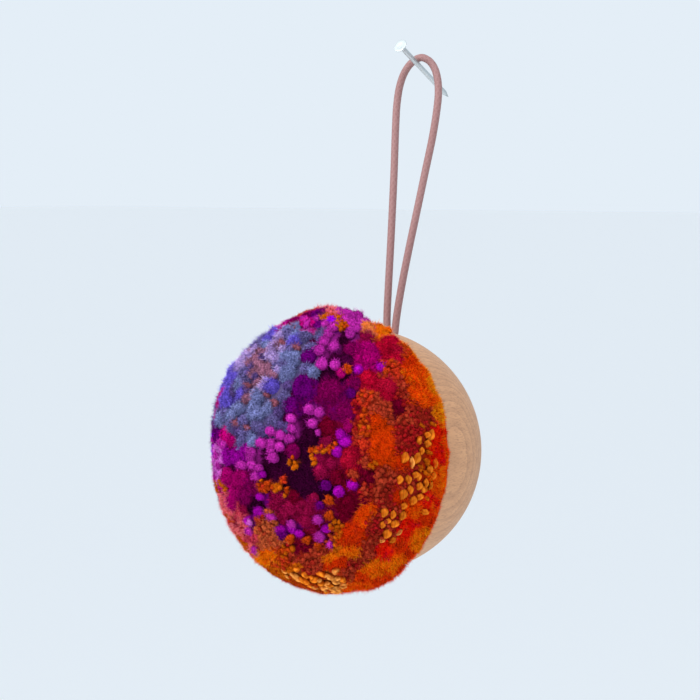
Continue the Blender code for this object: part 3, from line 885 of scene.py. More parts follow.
def bedded(points, outward):
    """Names of the yarns bedded at points of the pile: of all the beds, each point's nearest."""
    points, outward = np.array(points), np.array(outward)
    rays = points - np.array(eye)
    reach = (CHART_MIDDLE - eye).dot(view_ahead) / (rays @ np.array(view_ahead))
    on_chart = rays * reach[:, None] + np.array(eye - CHART_MIDDLE)
    across = (on_chart @ np.array(view_right))[:, None] / MM - chart[:, 0]
    up = (on_chart @ np.array(view_up))[:, None] / MM - chart[:, 1]
    lean = np.radians(chart[:, 4])
    along = (across * np.cos(lean) + up * np.sin(lean)) / (chart[:, 2] / 2)
    athwart = (up * np.cos(lean) - across * np.sin(lean)) / (chart[:, 3] / 2)
    away = along ** 2 + athwart ** 2
    away[np.sum(outward * rays, axis=1) > 0.0] = OUT_OF_SIGHT
    heading = np.stack([points[:, 0] / PILE_RADIUS, (points[:, 2] + AXIS_DROP) / PILE_RADIUS,
                        (-points[:, 1] - PILE_WIDEST * MM) / PILE_FRONT_HEIGHT], axis=1)
    heading /= np.linalg.norm(heading, axis=1)[:, None]
    far_away = (np.arccos(np.clip(heading @ far_chart.T, -1.0, 1.0)) / far_spread) ** 2
    nearest = np.argmin(np.concatenate([away, far_away], axis=1), axis=1)
    return [bed_yarns[index] for index in nearest]


def gust(dice):
    """A push of chance to any side."""
    return Vector([dice.gauss(0, 1) for axis in "xyz"])


def wandered(point, dice):
    """The point shifted along the ragged edges of the beds, and a little by chance."""
    chance = gust(dice) * STRAYING
    return point + noise.noise_vector(point / FLEECE_WAVE_LENGTH) * RAGGED_EDGE + chance


def mixed(yarn, dice):
    """The yarn itself, or now and then one of those that are mixed in with it."""
    strays = YARNS[yarn][5]
    share = EVEN_STRAY_SHARE if yarn in EVEN_FLEECE else STRAY_SHARE
    return dice.choice(strays) if strays and dice.random() < share else yarn


def yarn_finish(name, root_light, tip_light, mottling, depth=0.3 * MM, colour_from="yarn_colour",
                strands=None):
    """Finish of wool: its own colour, with painted shade towards the root and a painted highlight
    towards the tip, mottled by its fibres.
    """
    finish, paint, shader = new_finish(name)
    colour, rise = paint.carried(colour_from, "Color"), paint.carried("rise")
    fibres = paint.clouds(FINE_SCALE, paint.here(), detail=3.0)
    mottle = paint.clouds(MOTTLE_SCALE, paint.here())
    if strands:
        drawn = paint.carried("lump_map", "Vector")
        drawn = drawn.vector("MULTIPLY_ADD", strands, paint.carried("cell", "Vector"))
        fibres = paint.clouds(1.0, drawn)
        # Painted shade: low on a kernel its colour deepens to a warm hue
        colour = paint.mix(1.0, colour, paint.mix(rise, SLUB_FLANK_SHADE_HUE, WHITE), 'MULTIPLY')
    # Painted shade low down and painted highlight high up: the colour is scaled by rise from root_light
    # to tip_light
    light = rise * (tip_light - root_light) + root_light
    uneven = (fibres * FINE_SHARE + mottle * MOTTLE_SHARE - 0.5) * mottling
    shown = colour.vector("SCALE", Scale=light * (uneven + paint.carried("tint")))
    shown.vector("MINIMUM", BRIGHTEST).into(shader, "Base Color")
    paint.bumps(fibres * FINE_SHARE + mottle, YARN_BUMP, depth, shader)
    shader.inputs["Roughness"].default_value = YARN_ROUGHNESS
    shader.inputs["Specular IOR Level"].default_value = 0.0
    return finish


envelope_mesh = pile_shell("pile_outside", FLEECE_TURNS // 2, FLEECE_TILTS // 2)
envelope = BVHTree.FromPolygons([v.co.copy() for v in envelope_mesh.vertices],
                                [tuple(p.vertices) for p in envelope_mesh.polygons])

noise.seed_set(WANDER_SEED)
fleece_dice = random.Random(FLEECE_SEED)
fleece_mesh = pile_shell("fleece", FLEECE_TURNS, FLEECE_TILTS)
# Painted shade where the fleece lies deep and painted light where it stands high, from its rise
fleece_mesh.materials.append(yarn_finish(
    "matted_yarn", root_light=0.40, tip_light=1.1, mottling=1.2, colour_from="ground_colour_and_shade"))
fleece_beds = bedded([wandered(face.center, fleece_dice) for face in fleece_mesh.polygons],
                     [face.normal for face in fleece_mesh.polygons])
faces_at = [0] * len(fleece_mesh.vertices)
depths = [0.0] * len(fleece_mesh.vertices)
standing = [0] * len(fleece_mesh.vertices)
grounds_and_shade = [Vector((0.0, 0.0, 0.0)) for vertex in fleece_mesh.vertices]
face_yarns, face_fluff = [], []
for face, bed in zip(fleece_mesh.polygons, fleece_beds):
    form = YARNS[bed][1]
    upright = form == "fleece"
    depth = FLEECE_UNDER_OUTSIDE - YARNS[bed][3] if upright else GAPS_UNDER_OUTSIDE[form]
    if upright and bed not in EVEN_FLEECE:
        depth += FLEECE_UNDER_DOMES
    yarn = fleece_dice.choice(YARNS[bed][5]) if form == "kernel" else mixed(bed, fleece_dice)
    by_the_wood = FLUFF_AT_THE_WOOD + (-face.center.y - BALL_FRONT) / FLUFF_GROWTH
    face_yarns.append(yarn)
    face_fluff.append(YARNS[yarn][4] * min(FLUFF_LIMIT, by_the_wood) if upright else 0.0)
    for index in face.vertices:
        faces_at[index] += 1
        depths[index] += depth
        standing[index] += upright
        # The yarn's own colour, with painted shade on the ground under other tufts
        grounds_and_shade[index] += seen(yarn) * (1.0 if upright else SHADED_GROUND)
sunk, rises = [], []
for vertex, count, depth, upright in zip(fleece_mesh.vertices, faces_at, depths, standing):
    from_wood = -vertex.co.y - BALL_FRONT
    ragged = 1.0 + RAGGED_BY_THE_WOOD * max(0.0, 1.0 - from_wood / FREE_OF_THE_WOOD)
    wave = noise.noise(vertex.co / FLEECE_WAVE_LENGTH) * FLEECE_WAVE
    deep = depth / count - wave * ragged
    # The rise sets painted shade: dark where the fleece lies deep, light where it stands high
    rises.append(max(LOW_FLEECE_RISE * upright / count, min(1.0, (DEEPEST - deep) / RISE_SPAN)))
    shift = vertex.normal * (-deep * MM)
    shift.y *= max(0.0, min(1.0, (from_wood - GLUED_STRIP) / FREE_OF_THE_WOOD))
    place = vertex.co + shift
    if from_wood < GLUED_STRIP:
        place.y = -BALL_FRONT
    sunk.append(place)
for vertex, place in zip(fleece_mesh.vertices, sunk):
    vertex.co = place
noted(fleece_mesh, "yarn_colour", 'FLOAT_COLOR', [(*seen(yarn), 1.0) for yarn in face_yarns], 'FACE')
noted(fleece_mesh, "yarn_row", 'FLOAT', [YARN_ROWS[yarn] for yarn in face_yarns], 'FACE')
noted(fleece_mesh, "fuzz", 'FLOAT', face_fluff, 'FACE')
noted(fleece_mesh, "ground_colour_and_shade", 'FLOAT_COLOR',
      [(*(ground / count), 1.0) for ground, count in zip(grounds_and_shade, faces_at)])
noted(fleece_mesh, "rise", 'FLOAT', rises)
noted(fleece_mesh, "tint", 'FLOAT', [1.0] * len(rises))
fleece = placed("fleece", fleece_mesh)
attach(fleece, "root")
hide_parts("pom_pom")


# ==== Tufts of the pom pom ====================================================================
# Every yarn is tied in by the strand and clipped, so that its cut end swells to a rounded tuft.
# Thick roving makes beads, merino domes, fine slub crumbs, and hard slub yarn gold kernels.

TUFT_SEED = 5
TUFT_TRIES = 60000
FORMS = {
    # form: height and length for its width, share of a radius that neighbours keep, how far its
    # top lies under the outside (mm), how much longer than it looks a single one may get where
    # the pile turns away, and how much tufts lean by chance
    "bead": (0.44, 1.12, 0.74, 0.85, 1.6, 0.07),
    "dome": (0.30, 1.15, 0.84, 0.75, 1.6, 0.07),
    "small": (0.62, 1.30, 0.56, 0.50, 1.1, 0.25),
    "kernel": (0.42, 1.50, 0.84, 0.40, 1.1, 0.07),
}
LEAST_DIP = 0.45
CRUMB_WIDTH = 1.3
CRUMB_SIZES = (0.85, 1.15)
CRUMBS_REACH = 0.40
CRUMBS_TURN = 2.4
WIDEST_CRUMB = 1.2
TUFT_WIDTHS = (0.80, 1.15)
TUFT_LENGTHS = (0.9, 1.1)
TUFT_TINTS = (0.80, 1.20)
WIDTH_STEPS_PER_MM = 2.5
CROWD_CELL = 5.0 * MM
NEXT_CELLS = list(product((-1, 0, 1), repeat=3))
# A lump's waves and folds, how steeply its rise goes up and from where, and how far folds lower it; by
# the rise the finish paints shade low on the lump and in its folds, and light on its top
KNEADING, WAVE_TURN, FOLD_TURN = 9.0, 0.35, 4.0
LUMP_RISE, LUMP_RISE_START, FOLD_SHADE_SINK = 0.75, 0.25, 3.0
# A lump's own map: a disc out to this angle from its top, and its buried side in a corner
LUMP_SPAN, LUMP_REACH = math.radians(150), 0.47
BURIED_BELOW, BURIED_CORNER, BURIED_REACH = -0.45, 0.04, 0.03
BESIDE_THE_POLE = 1e-6

# Single tufts that stand out, on the same chart as the beds: middle, width and height in mm,
# and lean in degrees if there is any.
SINGLES = {
    "slate": ((-25.2, 8.3, 2.6, 2.8),),
    "steel": (
        (-31.0, 8.9, 2.9, 2.9), (-28.7, 9.5, 2.6, 2.6), (-26.5, 11.4, 4.6, 2.6, 30),
        (-21.5, 10.0, 4.8, 3.9, 10), (-18.7, 11.4, 2.2, 3.4), (-21.2, 14.9, 3.6, 3.9),
        (-12.0, 24.4, 4.3, 3.9), (-13.4, 20.6, 3.9, 5.3),
    ),
    "lavender": ((-15.8, 30.2, 3.6, 2.4, 30), (-17.6, 27.6, 3.0, 2.2, 20), (-16.3, 21.8, 1.8, 1.7)),
    "ultramarine": (
        (-29.3, 13.6, 3.4, 5.3, 10), (-28.2, 21.0, 1.9, 4.6, -20), (-17.0, 31.2, 4.0, 2.4, 40),
        (-19.0, 29.3, 3.0, 2.4, 40), (-11.6, 28.8, 6.0, 2.6, 40), (-17.7, 17.2, 4.6, 4.4),
    ),
    "copper": (
        (-17.2, 13.2, 1.7, 1.6), (-27.4, 7.5, 1.2, 1.9), (-24.6, 6.4, 1.4, 1.2),
        (-15.2, 28.8, 1.6, 1.4), (-11.4, 27.5, 1.6, 1.2), (-12.2, 32.8, 1.6, 1.2),
        (-24.3, 17.6, 1.5, 1.3), (-19.4, 15.0, 1.4, 1.3),
    ),
    "pale_orchid": ((-23.9, -18.5, 1.3, 1.9, 20),),
    "orchid": (
        (-12.8, 8.9, 2.7, 2.6), (-12.7, 6.2, 2.4, 2.5), (-13.3, 3.6, 2.8, 2.6), (-18.2, 5.6, 3.0, 2.6),
        (-15.6, 4.5, 2.6, 2.8), (-20.7, 2.5, 2.8, 2.8), (-18.2, 2.3, 2.7, 2.7), (-15.9, 1.5, 2.6, 2.5),
        (-23.4, 0.1, 2.7, 2.8), (-17.6, -1.3, 2.8, 3.2), (-25.9, -3.4, 2.6, 2.3),
        (-23.3, -3.3, 2.6, 2.6), (-21.4, -4.2, 2.3, 2.1), (-22.2, -6.3, 2.4, 2.6),
        (-8.1, 11.3, 2.9, 2.8), (-5.4, 10.5, 2.9, 2.8), (-7.2, 7.6, 2.8, 2.7), (-5.8, 5.2, 1.5, 1.9),
        (-1.6, 33.0, 3.1, 2.2), (-3.1, 31.2, 2.8, 2.4), (-4.1, 29.2, 2.9, 2.5), (-1.6, 27.8, 2.8, 2.5),
        (-5.4, 26.8, 3.1, 2.7), (2.7, 31.2, 2.8, 2.4), (4.1, 32.6, 2.6, 2.2), (-4.8, 23.2, 3.2, 2.9),
        (-1.3, 23.0, 2.9, 2.6), (-18.2, -16.9, 3.0, 1.9, -20), (-24.0, -20.8, 2.3, 1.7, -20),
        (-22.2, -26.1, 1.9, 2.1), (-12.7, -19.0, 2.0, 2.4), (-5.7, -17.7, 2.7, 2.4),
        (-5.2, -22.2, 2.8, 2.9), (-2.7, -24.2, 1.9, 2.0), (4.6, 36.2, 3.0, 1.8, -15),
    ),
    "fuchsia": ((0.3, 20.8, 2.3, 2.6), (-8.2, 34.0, 5.4, 2.0, 5)),
    "violet": (
        (-8.2, 25.3, 4.2, 4.0), (-9.4, 17.0, 6.2, 7.0), (-12.6, 12.2, 4.6, 4.8), (2.9, 15.5, 2.6, 2.8),
        (-3.7, -8.8, 2.8, 2.9), (-5.3, -14.0, 2.2, 2.2), (-5.6, 33.6, 2.6, 2.2),
    ),
    "bright_violet": ((-2.6, 34.3, 3.4, 2.6),),
    "purple": (
        (-20.5, -5.8, 2.0, 2.0), (4.8, 21.6, 2.8, 2.6), (10.7, 22.2, 2.9, 2.7), (1.4, 2.8, 3.8, 3.2),
        (-0.6, 0.2, 3.2, 3.4), (3.3, -8.5, 3.2, 2.8), (-0.3, -10.3, 3.2, 3.2), (-21.2, -15.7, 2.9, 2.8),
        (-15.7, -20.3, 3.0, 2.6), (-10.7, -21.4, 2.4, 1.9), (-3.6, -20.1, 2.8, 2.4),
        (-21.0, -11.7, 2.4, 2.2),
    ),
    "plum": ((-2.2, 15.6, 7.8, 7.4),),
    "magenta": ((7.0, 25.3, 7.6, 6.2, -10),),
    "amethyst": ((-28.2, -1.3, 4.8, 4.2),),
    "cerise": ((2.2, 7.2, 2.5, 4.2),),
    "raspberry": (
        (-4.9, -4.9, 3.8, 5.2), (-2.4, -3.0, 3.2, 3.4), (-8.8, -15.2, 3.6, 4.0),
        (7.4, 30.4, 4.6, 2.6, -10),
    ),
    "wine": (
        (15.4, 11.7, 4.2, 5.4), (4.9, 11.4, 2.6, 3.0), (-1.0, -6.6, 3.2, 4.4),
        (2.0, -14.0, 5.2, 7.4, -15), (-3.0, 6.4, 5.0, 5.2),
    ),
    "crimson": ((7.6, 19.3, 5.2, 4.4), (11.4, 27.6, 4.6, 5.0, -30)),
    "rose": ((12.3, 17.5, 5.6, 5.0), (2.9, -1.7, 5.8, 6.2, -10)),
    "tangerine": ((26.2, 10.3, 1.7, 2.8), (10.4, 33.0, 3.2, 2.0, -20), (12.6, 32.2, 2.4, 1.8, -30)),
    "apricot": ((7.0, 33.4, 3.4, 2.0, -10),),
    "orange_tuft": (
        (1.8, 21.9, 2.8, 2.6), (-3.0, -12.8, 2.6, 2.6), (-2.9, -16.6, 2.2, 2.8, -15),
        (-13.2, -22.8, 2.4, 2.2), (-8.7, -23.2, 2.1, 2.2), (-6.0, -24.7, 2.2, 1.6),
    ),
    "paprika": ((6.2, 2.3, 3.0, 3.4),),
    "ochre": (
        (-0.3, -20.8, 2.4, 1.3, 15), (24.5, 7.2, 1.6, 1.5), (21.6, 6.8, 1.2, 1.9),
        (23.5, -0.2, 1.6, 1.4), (22.9, -2.4, 1.8, 1.6), (21.0, -4.0, 1.9, 1.6), (22.7, -12.2, 1.2, 1.8),
        (22.8, -5.7, 1.5, 1.5), (8.2, -3.8, 1.5, 1.6), (9.4, -3.0, 1.1, 1.5),
    ),
    "gold": (
        (17.0, -1.5, 2.1, 3.3, -15), (15.7, -7.3, 1.7, 2.5), (18.0, -7.2, 1.7, 2.5, 25),
        (18.5, -9.9, 1.5, 2.5, 25), (16.6, -11.1, 2.1, 3.0), (19.2, -12.8, 2.0, 2.4),
        (16.8, -14.2, 1.7, 1.8), (11.6, -15.9, 2.1, 2.7), (13.9, -16.5, 1.6, 2.4),
        (16.4, -16.7, 1.8, 2.7), (14.3, -18.9, 2.4, 2.1), (11.2, -19.2, 1.5, 2.0),
        (12.6, -18.2, 1.6, 1.5), (12.3, -21.5, 2.4, 2.8), (13.8, -23.2, 1.5, 2.1, -35),
        (22.3, -15.8, 2.4, 1.7, -20), (23.0, 4.5, 1.9, 1.8), (23.0, 2.2, 2.0, 2.1),
        (21.5, 0.3, 1.3, 2.2), (25.0, -3.0, 1.4, 2.8, 12), (24.6, -6.3, 1.4, 2.2, -8),
        (19.9, -6.0, 2.1, 1.9), (22.6, -8.2, 1.3, 2.5, 15), (23.8, -8.9, 1.0, 2.6, -20),
        (20.8, -9.0, 1.8, 2.2), (21.0, -11.8, 1.9, 1.8), (-9.0, -34.4, 1.9, 1.5, -10),
        (-7.7, -33.1, 1.3, 1.3),
    ),
    "straw": (
        (18.9, -2.8, 1.3, 3.4, 8), (15.4, -21.2, 1.2, 2.5, -45), (11.0, -23.3, 1.6, 1.3),
        (-11.2, -33.4, 2.9, 1.3, -25), (-5.6, -33.9, 1.8, 1.3, 15), (-4.0, -32.6, 1.9, 1.2, 15),
        (-6.9, -35.6, 2.2, 1.3, -15), (-3.6, -34.8, 2.4, 1.5, 20), (-1.0, -33.4, 2.6, 1.1, 10),
        (-1.0, -36.0, 2.4, 1.3, -10), (-14.8, -31.4, 2.0, 1.1, -30), (-14.0, -32.8, 1.8, 1.0, -30),
        (-12.9, -32.1, 2.2, 1.0, -30),
    ),
    "brick": ((6.4, -2.2, 2.1, 2.8), (3.4, -5.8, 3.4, 2.2), (-2.4, -22.2, 1.6, 1.9)),
    "red_tuft": ((-8.4, -31.6, 1.2, 1.6),),
}

spread = random.Random(TUFT_SEED)
tufts = []
crowd = {}


def crowd_cell(point):
    return tuple(math.floor(value / CROWD_CELL) for value in point)


def room_for(point, reach, overlap):
    """Whether a tuft of this radius has room at a point among those that are planted."""
    x, y, z = crowd_cell(point)
    for dx, dy, dz in NEXT_CELLS:
        for other, other_reach in crowd.get((x + dx, y + dy, z + dz), ()):
            if (other - point).length < (reach + other_reach) * overlap:
                return False
    return True


def form_of(yarn):
    return "dome" if YARNS[yarn][1] == "fleece" else YARNS[yarn][1]


def plant(point, normal, along, width, length, height, yarn, inward=None):
    """Note a tuft: its form's middle lies under the outside, so that its top comes up to it."""
    form, stand = form_of(yarn), YARNS[yarn][3]
    under = height + (FORMS[form][3] - stand) * MM
    inward = inward or -normal
    middle = point + inward * (under / max(inward.dot(-normal), LEAST_DIP))
    crowd.setdefault(crowd_cell(point), []).append((point, (width + length) / 4))
    tufts.append((form, yarn, middle, normal, along, width / 2, length / 2, height))


def ray_to_outside(across, up):
    """Where the viewer's sight through a place on the chart meets the pile's outside."""
    target = CHART_MIDDLE + view_right * (across * MM) + view_up * (up * MM)
    return envelope.ray_cast(eye, (target - eye).normalized())


def crumbled(across, up, wide, high, lean, yarn):
    """The crumbs that a single tuft of fine slub is made of. Any other tuft stays whole."""
    count = round(wide * high) if form_of(yarn) == "small" else 1
    if count < 2:
        return [(across, up, wide, high, lean, yarn)]
    crumbs = []
    for index in range(count):
        far, turn = math.sqrt((index + 0.5) / count) * CRUMBS_REACH, index * CRUMBS_TURN
        size = CRUMB_WIDTH * spread.uniform(*CRUMB_SIZES)
        crumbs.append((across + far * wide * math.cos(turn), up + far * high * math.sin(turn),
                       size, size, lean, yarn))
    return crumbs


def half_extent(point, end, looks, form):
    """Half a single tuft's extent on the pile, from where its end is and how long it looks."""
    if not end:
        return looks * MM / 2
    return min((end - point).length, looks * FORMS[form][4] * MM / 2)


singles = [crumb for yarn, rows in SINGLES.items() for row in rows
           for crumb in crumbled(*with_lean(row), yarn)]
for across, up, wide, high, lean, yarn in singles:
    point, normal = ray_to_outside(across, up)[:2]
    if point is None:
        continue
    turn, form = math.radians(lean), form_of(yarn)
    sine, cosine = math.sin(turn), math.cos(turn)
    wide_end = ray_to_outside(across + cosine * wide / 2, up + sine * wide / 2)[0]
    high_end = ray_to_outside(across - sine * high / 2, up + cosine * high / 2)[0]
    half_wide = half_extent(point, wide_end, wide, form)
    half_high = half_extent(point, high_end, high, form)
    height = math.sqrt(wide * high) * MM * FORMS[form][0]
    plant(point, normal, view_right * -sine + view_up * cosine, half_wide * 2, half_high * 2,
          height, yarn, (point - eye).normalized())

tries = []
for attempt in range(TUFT_TRIES):
    turn = spread.uniform(0.0, math.tau)
    tilt = math.acos(spread.uniform(math.cos(PILE_TURN_BACK), 1.0))
    tries.append(envelope.find_nearest(pile_point(turn, tilt))[:2])
tried = [wandered(point, spread) for point, normal in tries]
candidates = []
for attempt, yarn in enumerate(bedded(tried, [normal for point, normal in tries])):
    width = YARNS[yarn][2] * spread.uniform(*TUFT_WIDTHS)
    candidates.append((width, attempt, *tries[attempt], yarn))
candidates.sort(key=lambda one: (-round(one[0] * WIDTH_STEPS_PER_MM), one[1]))
for width, attempt, point, normal, yarn in candidates:
    long, apart = FORMS[form_of(yarn)][1:3]
    if yarn in EVEN_FLEECE or not room_for(point, width * MM * (1 + long) / 4, apart):
        continue
    yarn = mixed(yarn, spread)
    form = form_of(yarn)
    if form == "small":
        width = min(width, YARNS[yarn][2] * WIDEST_CRUMB)
    blown = gust(spread)
    leaning = (normal + blown * FORMS[form][5]).normalized()
    tall, long = FORMS[form][:2]
    plant(point, leaning, blown.cross(normal), width * MM,
          width * MM * long * spread.uniform(*TUFT_LENGTHS), width * MM * tall, yarn)


def lump(name, rounds, ripple, seed, folds=0):
    """A rounded lump of yarn of unit radius, drawn on the flat for its own map."""
    form = bmesh.new()
    bmesh.ops.create_icosphere(form, subdivisions=rounds, radius=1.0)
    knead = random.Random(seed)
    shifts = [Vector([knead.uniform(-KNEADING, KNEADING) for axis in "xyz"]) for _ in range(3)]
    for vertex in form.verts:
        co = vertex.co
        wave = sum(math.sin(co.dot(shift) * WAVE_TURN + shift.x) for shift in shifts) / len(shifts)
        if folds:
            wave += math.sin(folds * math.atan2(co.z, co.x) + FOLD_TURN * co.y)
        vertex.co *= 1.0 + ripple * wave
    sheet = form.loops.layers.uv.new("lump_map")
    for face in form.faces:
        buried = face.calc_center_median().z < BURIED_BELOW
        for corner in face.loops:
            co = corner.vert.co.normalized()
            polar = math.acos(max(-1.0, min(1.0, co.z))) / LUMP_SPAN
            side = max(math.hypot(co.x, co.y), BESIDE_THE_POLE)
            middle, reach = (BURIED_CORNER, BURIED_REACH * side) if buried else (
                DISC_MIDDLE, LUMP_REACH * min(polar, 1.0))
            corner[sheet].uv = (middle + co.x / side * reach, middle + co.y / side * reach)
    mesh = smooth_mesh(form, name)
    # Rise: low on the underside and in the folds, where the finish paints shade, high on top, where it
    # paints light
    rises = []
    for vertex in mesh.vertices:
        fold_shade = (1.0 - vertex.co.length) * FOLD_SHADE_SINK if folds else 0.0
        rises.append(max(0.0, min(1.0, vertex.co.z * LUMP_RISE + LUMP_RISE_START - fold_shade)))
    noted(mesh, "rise", 'FLOAT', rises)
    return placed(name, mesh)


planting, given = new_growth("planted_tufts", Lump="Object", Cell="Float", Finish="Material")
one_lump = planting.node("GeometryNodeObjectInfo", {"Object": given["Lump"]}, "Geometry")
stance = planting.node("FunctionNodeEulerToRotation", {0: planting.named("stance", 'FLOAT_VECTOR')})
planted = planting.node("GeometryNodeInstanceOnPoints", {
    "Points": given["Shape"], "Instance": one_lump, "Rotation": stance,
    "Scale": planting.named("size", 'FLOAT_VECTOR')})
planted = planting.node("GeometryNodeRealizeInstances", {"Geometry": planted})
in_cell = planting.named("lump_map", 'FLOAT_VECTOR').vector("SCALE", Scale=given["Cell"])
on_map = in_cell.vector("ADD", planting.named("cell", 'FLOAT_VECTOR'))
planted = planting.keep(planted, "OFBake", on_map, 'FLOAT2', 'CORNER')
end_growth(planting, planted, given["Finish"])


def tuft_points(name, rows):
    """Loose points that carry each tuft's place, stance, size, colour and cell of the map."""
    mesh = bpy.data.meshes.new(name)
    mesh.from_pydata([row[2] for row in rows], [], [])
    cells = math.ceil(math.sqrt(len(rows)))
    stances = []
    for form, yarn, middle, normal, along, *size in rows:
        side = along.cross(normal).normalized()
        ahead = normal.cross(side)
        stances.append(Matrix((side, ahead, normal)).transposed().to_euler())
    yarns = [row[1] for row in rows]
    noted(mesh, "stance", 'FLOAT_VECTOR', stances)
    noted(mesh, "size", 'FLOAT_VECTOR', [row[5:] for row in rows])
    noted(mesh, "cell", 'FLOAT_VECTOR', [(index % cells / cells, index // cells / cells, 0.0)
                                         for index in range(len(rows))])
    noted(mesh, "yarn_colour", 'FLOAT_COLOR', [(*seen(yarn), 1.0) for yarn in yarns])
    noted(mesh, "yarn_row", 'FLOAT', [YARN_ROWS[yarn] for yarn in yarns])
    noted(mesh, "tint", 'FLOAT', [spread.uniform(*TUFT_TINTS) for row in rows])
    noted(mesh, "fuzz", 'FLOAT', [YARNS[yarn][4] for yarn in yarns])
    return placed(name, mesh), 1.0 / cells


# Finishes of the tufts: painted shade low on each lump and painted light on its top
roving = yarn_finish("clipped_yarn", root_light=0.48, tip_light=1.32, mottling=2.8, depth=0.8 * MM)
fine_slub = yarn_finish(
    "fine_slub_yarn", root_light=0.76, tip_light=1.16, mottling=2.0, depth=0.5 * MM)
hard_slub = yarn_finish(
    "slub_yarn", root_light=0.62, tip_light=1.55, mottling=2.8, strands=(16.0, 2.0, 0.0))
lumps = {
    # form: its piece, its lump, its finish
    "bead": ("roving_beads", lump("bead_lump", rounds=2, ripple=0.16, seed=1), roving),
    "dome": ("roving_domes", lump("dome_lump", rounds=3, ripple=0.10, seed=2), roving),
    "small": ("small_tufts", lump("small_lump", rounds=1, ripple=0.22, seed=4), fine_slub),
    "kernel": ("gold_kernels", lump("kernel_lump", rounds=3, ripple=0.07, seed=6, folds=2),
               hard_slub),
}
growing_on = {"fleece": fleece}
for form, (name, shape, finish) in lumps.items():
    points, cell = tuft_points(name + "_points", [row for row in tufts if row[0] == form])
    piece = grown(name, points, planting, Lump=shape, Cell=cell, Finish=finish)
    growing_on[form] = piece
    bpy.data.objects.remove(points)
    bpy.data.objects.remove(shape)
    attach(piece, "root")
    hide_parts("pom_pom")


# ==== Fibres of the tufts =====================================================================
# The clipped wool stands up in single fibres, thickest on the sheared fleece. They soften every
# tuft, and at the pile's edge they show as a thin halo.

FIBRE_SETS = (
    # piece, what it grows on, fibres, length (mm), width (mm), lean (degrees), seed
    ("merino_fibres", "fleece", 44500, 1.05, 0.16, 30.0, 1),
    ("stray_merino_fibres", "fleece", 33500, 1.20, 0.13, 50.0, 2),
    ("dome_fibres", "dome", 30000, 1.10, 0.13, 50.0, 3),
    ("bead_fibres", "bead", 46000, 0.85, 0.13, 60.0, 4),
    ("small_tuft_fibres", "small", 27500, 0.80, 0.10, 60.0, 5),
)
BARE_BELOW = 0.30
FIBRE_TINTS = (0.45, 1.55)
FIBRE_LENGTHS = (0.45, 1.2)
LOCKS_PER_METRE = 420.0
STREAKS_PER_METRE = 1100.0
# How much locks differ in length and streaks in light, and what each is at the least
LOCK_RANGE, LOCK_START = 2.6, 0.3
STREAK_RANGE, STREAK_START = 2.2, 0.1
SWEEP, EVEN_SWEEP = 3.0, (0.5, 0.5, 0.5)
COLUMN_SEED, SWING_SEED, LENGTH_SEED = 6, 3, 8
# A fibre's patch of the map: a narrow strip across its column and most of its yarn's row
COLUMNS_WIDE, STRIP_WIDE, COLUMNS_FROM = 0.97, 0.015, 0.005
STRIP_HIGH, STRIP_FROM = 0.84, 0.08

hair_mesh = bpy.data.meshes.new("one_fibre")
hair_turns = (0.0, math.tau / 3, math.tau * 2 / 3)
hair_corners = [(math.cos(turn), math.sin(turn), 0.0) for turn in hair_turns] + [(0.0, 0.0, 1.0)]
hair_mesh.from_pydata(hair_corners, [], [(0, 1, 3), (1, 2, 3), (2, 0, 3), (2, 1, 0)])
hair_map = hair_mesh.uv_layers.new(name="hair_map")
for corner in hair_mesh.loops:
    on_strip = ((0.0, 0.0), (0.5, 0.06), (1.0, 0.0), (0.5, 1.0))[corner.vertex_index]
    hair_map.data[corner.index].uv = on_strip
# Rise along a fibre from root to tip, by which the finish paints shade at the root and a highlight at
# the tip
noted(hair_mesh, "hair_rise", 'FLOAT', (0.0, 0.0, 0.0, 1.0))
one_hair = placed("one_fibre", hair_mesh)

combing, given = new_growth(
    "standing_fibres", Fibre="Object", Density="Float", Bare_below="Float", Length="Float",
    Width="Float", Lean="Float", Seed="Int", Row="Float", Finish="Material")
high_up = (combing.named("rise") - given["Bare_below"]).maths("MAXIMUM", 0.0)
wanted = high_up * combing.named("fuzz") * given["Density"]
roots = combing.node("GeometryNodeDistributePointsOnFaces", {
    "Mesh": given["Shape"], "Density": wanted, "Seed": given["Seed"]}, "Points")
upright = roots.twin("Rotation")
column = combing.node("FunctionNodeRandomValue", {2: 0.0, 3: 1.0, "Seed": COLUMN_SEED}, 1,
                      data_type='FLOAT')
roots = combing.keep(roots, "column", column)
streak = combing.clouds(STREAKS_PER_METRE, detail=1.0) * STREAK_RANGE - STREAK_START
shade = combing.named("column") * (FIBRE_TINTS[1] - FIBRE_TINTS[0]) + FIBRE_TINTS[0]
roots = combing.keep(roots, "tint", shade * streak)
swing = combing.node("FunctionNodeRandomValue", {
    0: (-1.0, -1.0, -1.0), 1: (1.0, 1.0, 1.0), "Seed": SWING_SEED}, data_type='FLOAT_VECTOR')
sweep = combing.clouds(LOCKS_PER_METRE, detail=1.0, out="Color").vector("SUBTRACT", EVEN_SWEEP)
swing = swing.vector("ADD", sweep.vector("SCALE", Scale=SWEEP))
swing = swing.vector("SCALE", Scale=given["Lean"])
swing = combing.node("FunctionNodeEulerToRotation", {0: swing})
stance = combing.node("FunctionNodeRotateRotation", {0: upright, 1: swing}, rotation_space='LOCAL')
uneven = combing.node("FunctionNodeRandomValue", {
    2: FIBRE_LENGTHS[0], 3: FIBRE_LENGTHS[1], "Seed": LENGTH_SEED}, 1, data_type='FLOAT')
uneven = uneven * (combing.clouds(LOCKS_PER_METRE, detail=1.0) * LOCK_RANGE - LOCK_START)
hair_size = combing.node("ShaderNodeCombineXYZ", {
    0: given["Width"] * 0.5, 1: given["Width"] * 0.5,
    2: given["Length"] * uneven * combing.named("fuzz")})
hair = combing.node("GeometryNodeObjectInfo", {"Object": given["Fibre"]}, "Geometry")
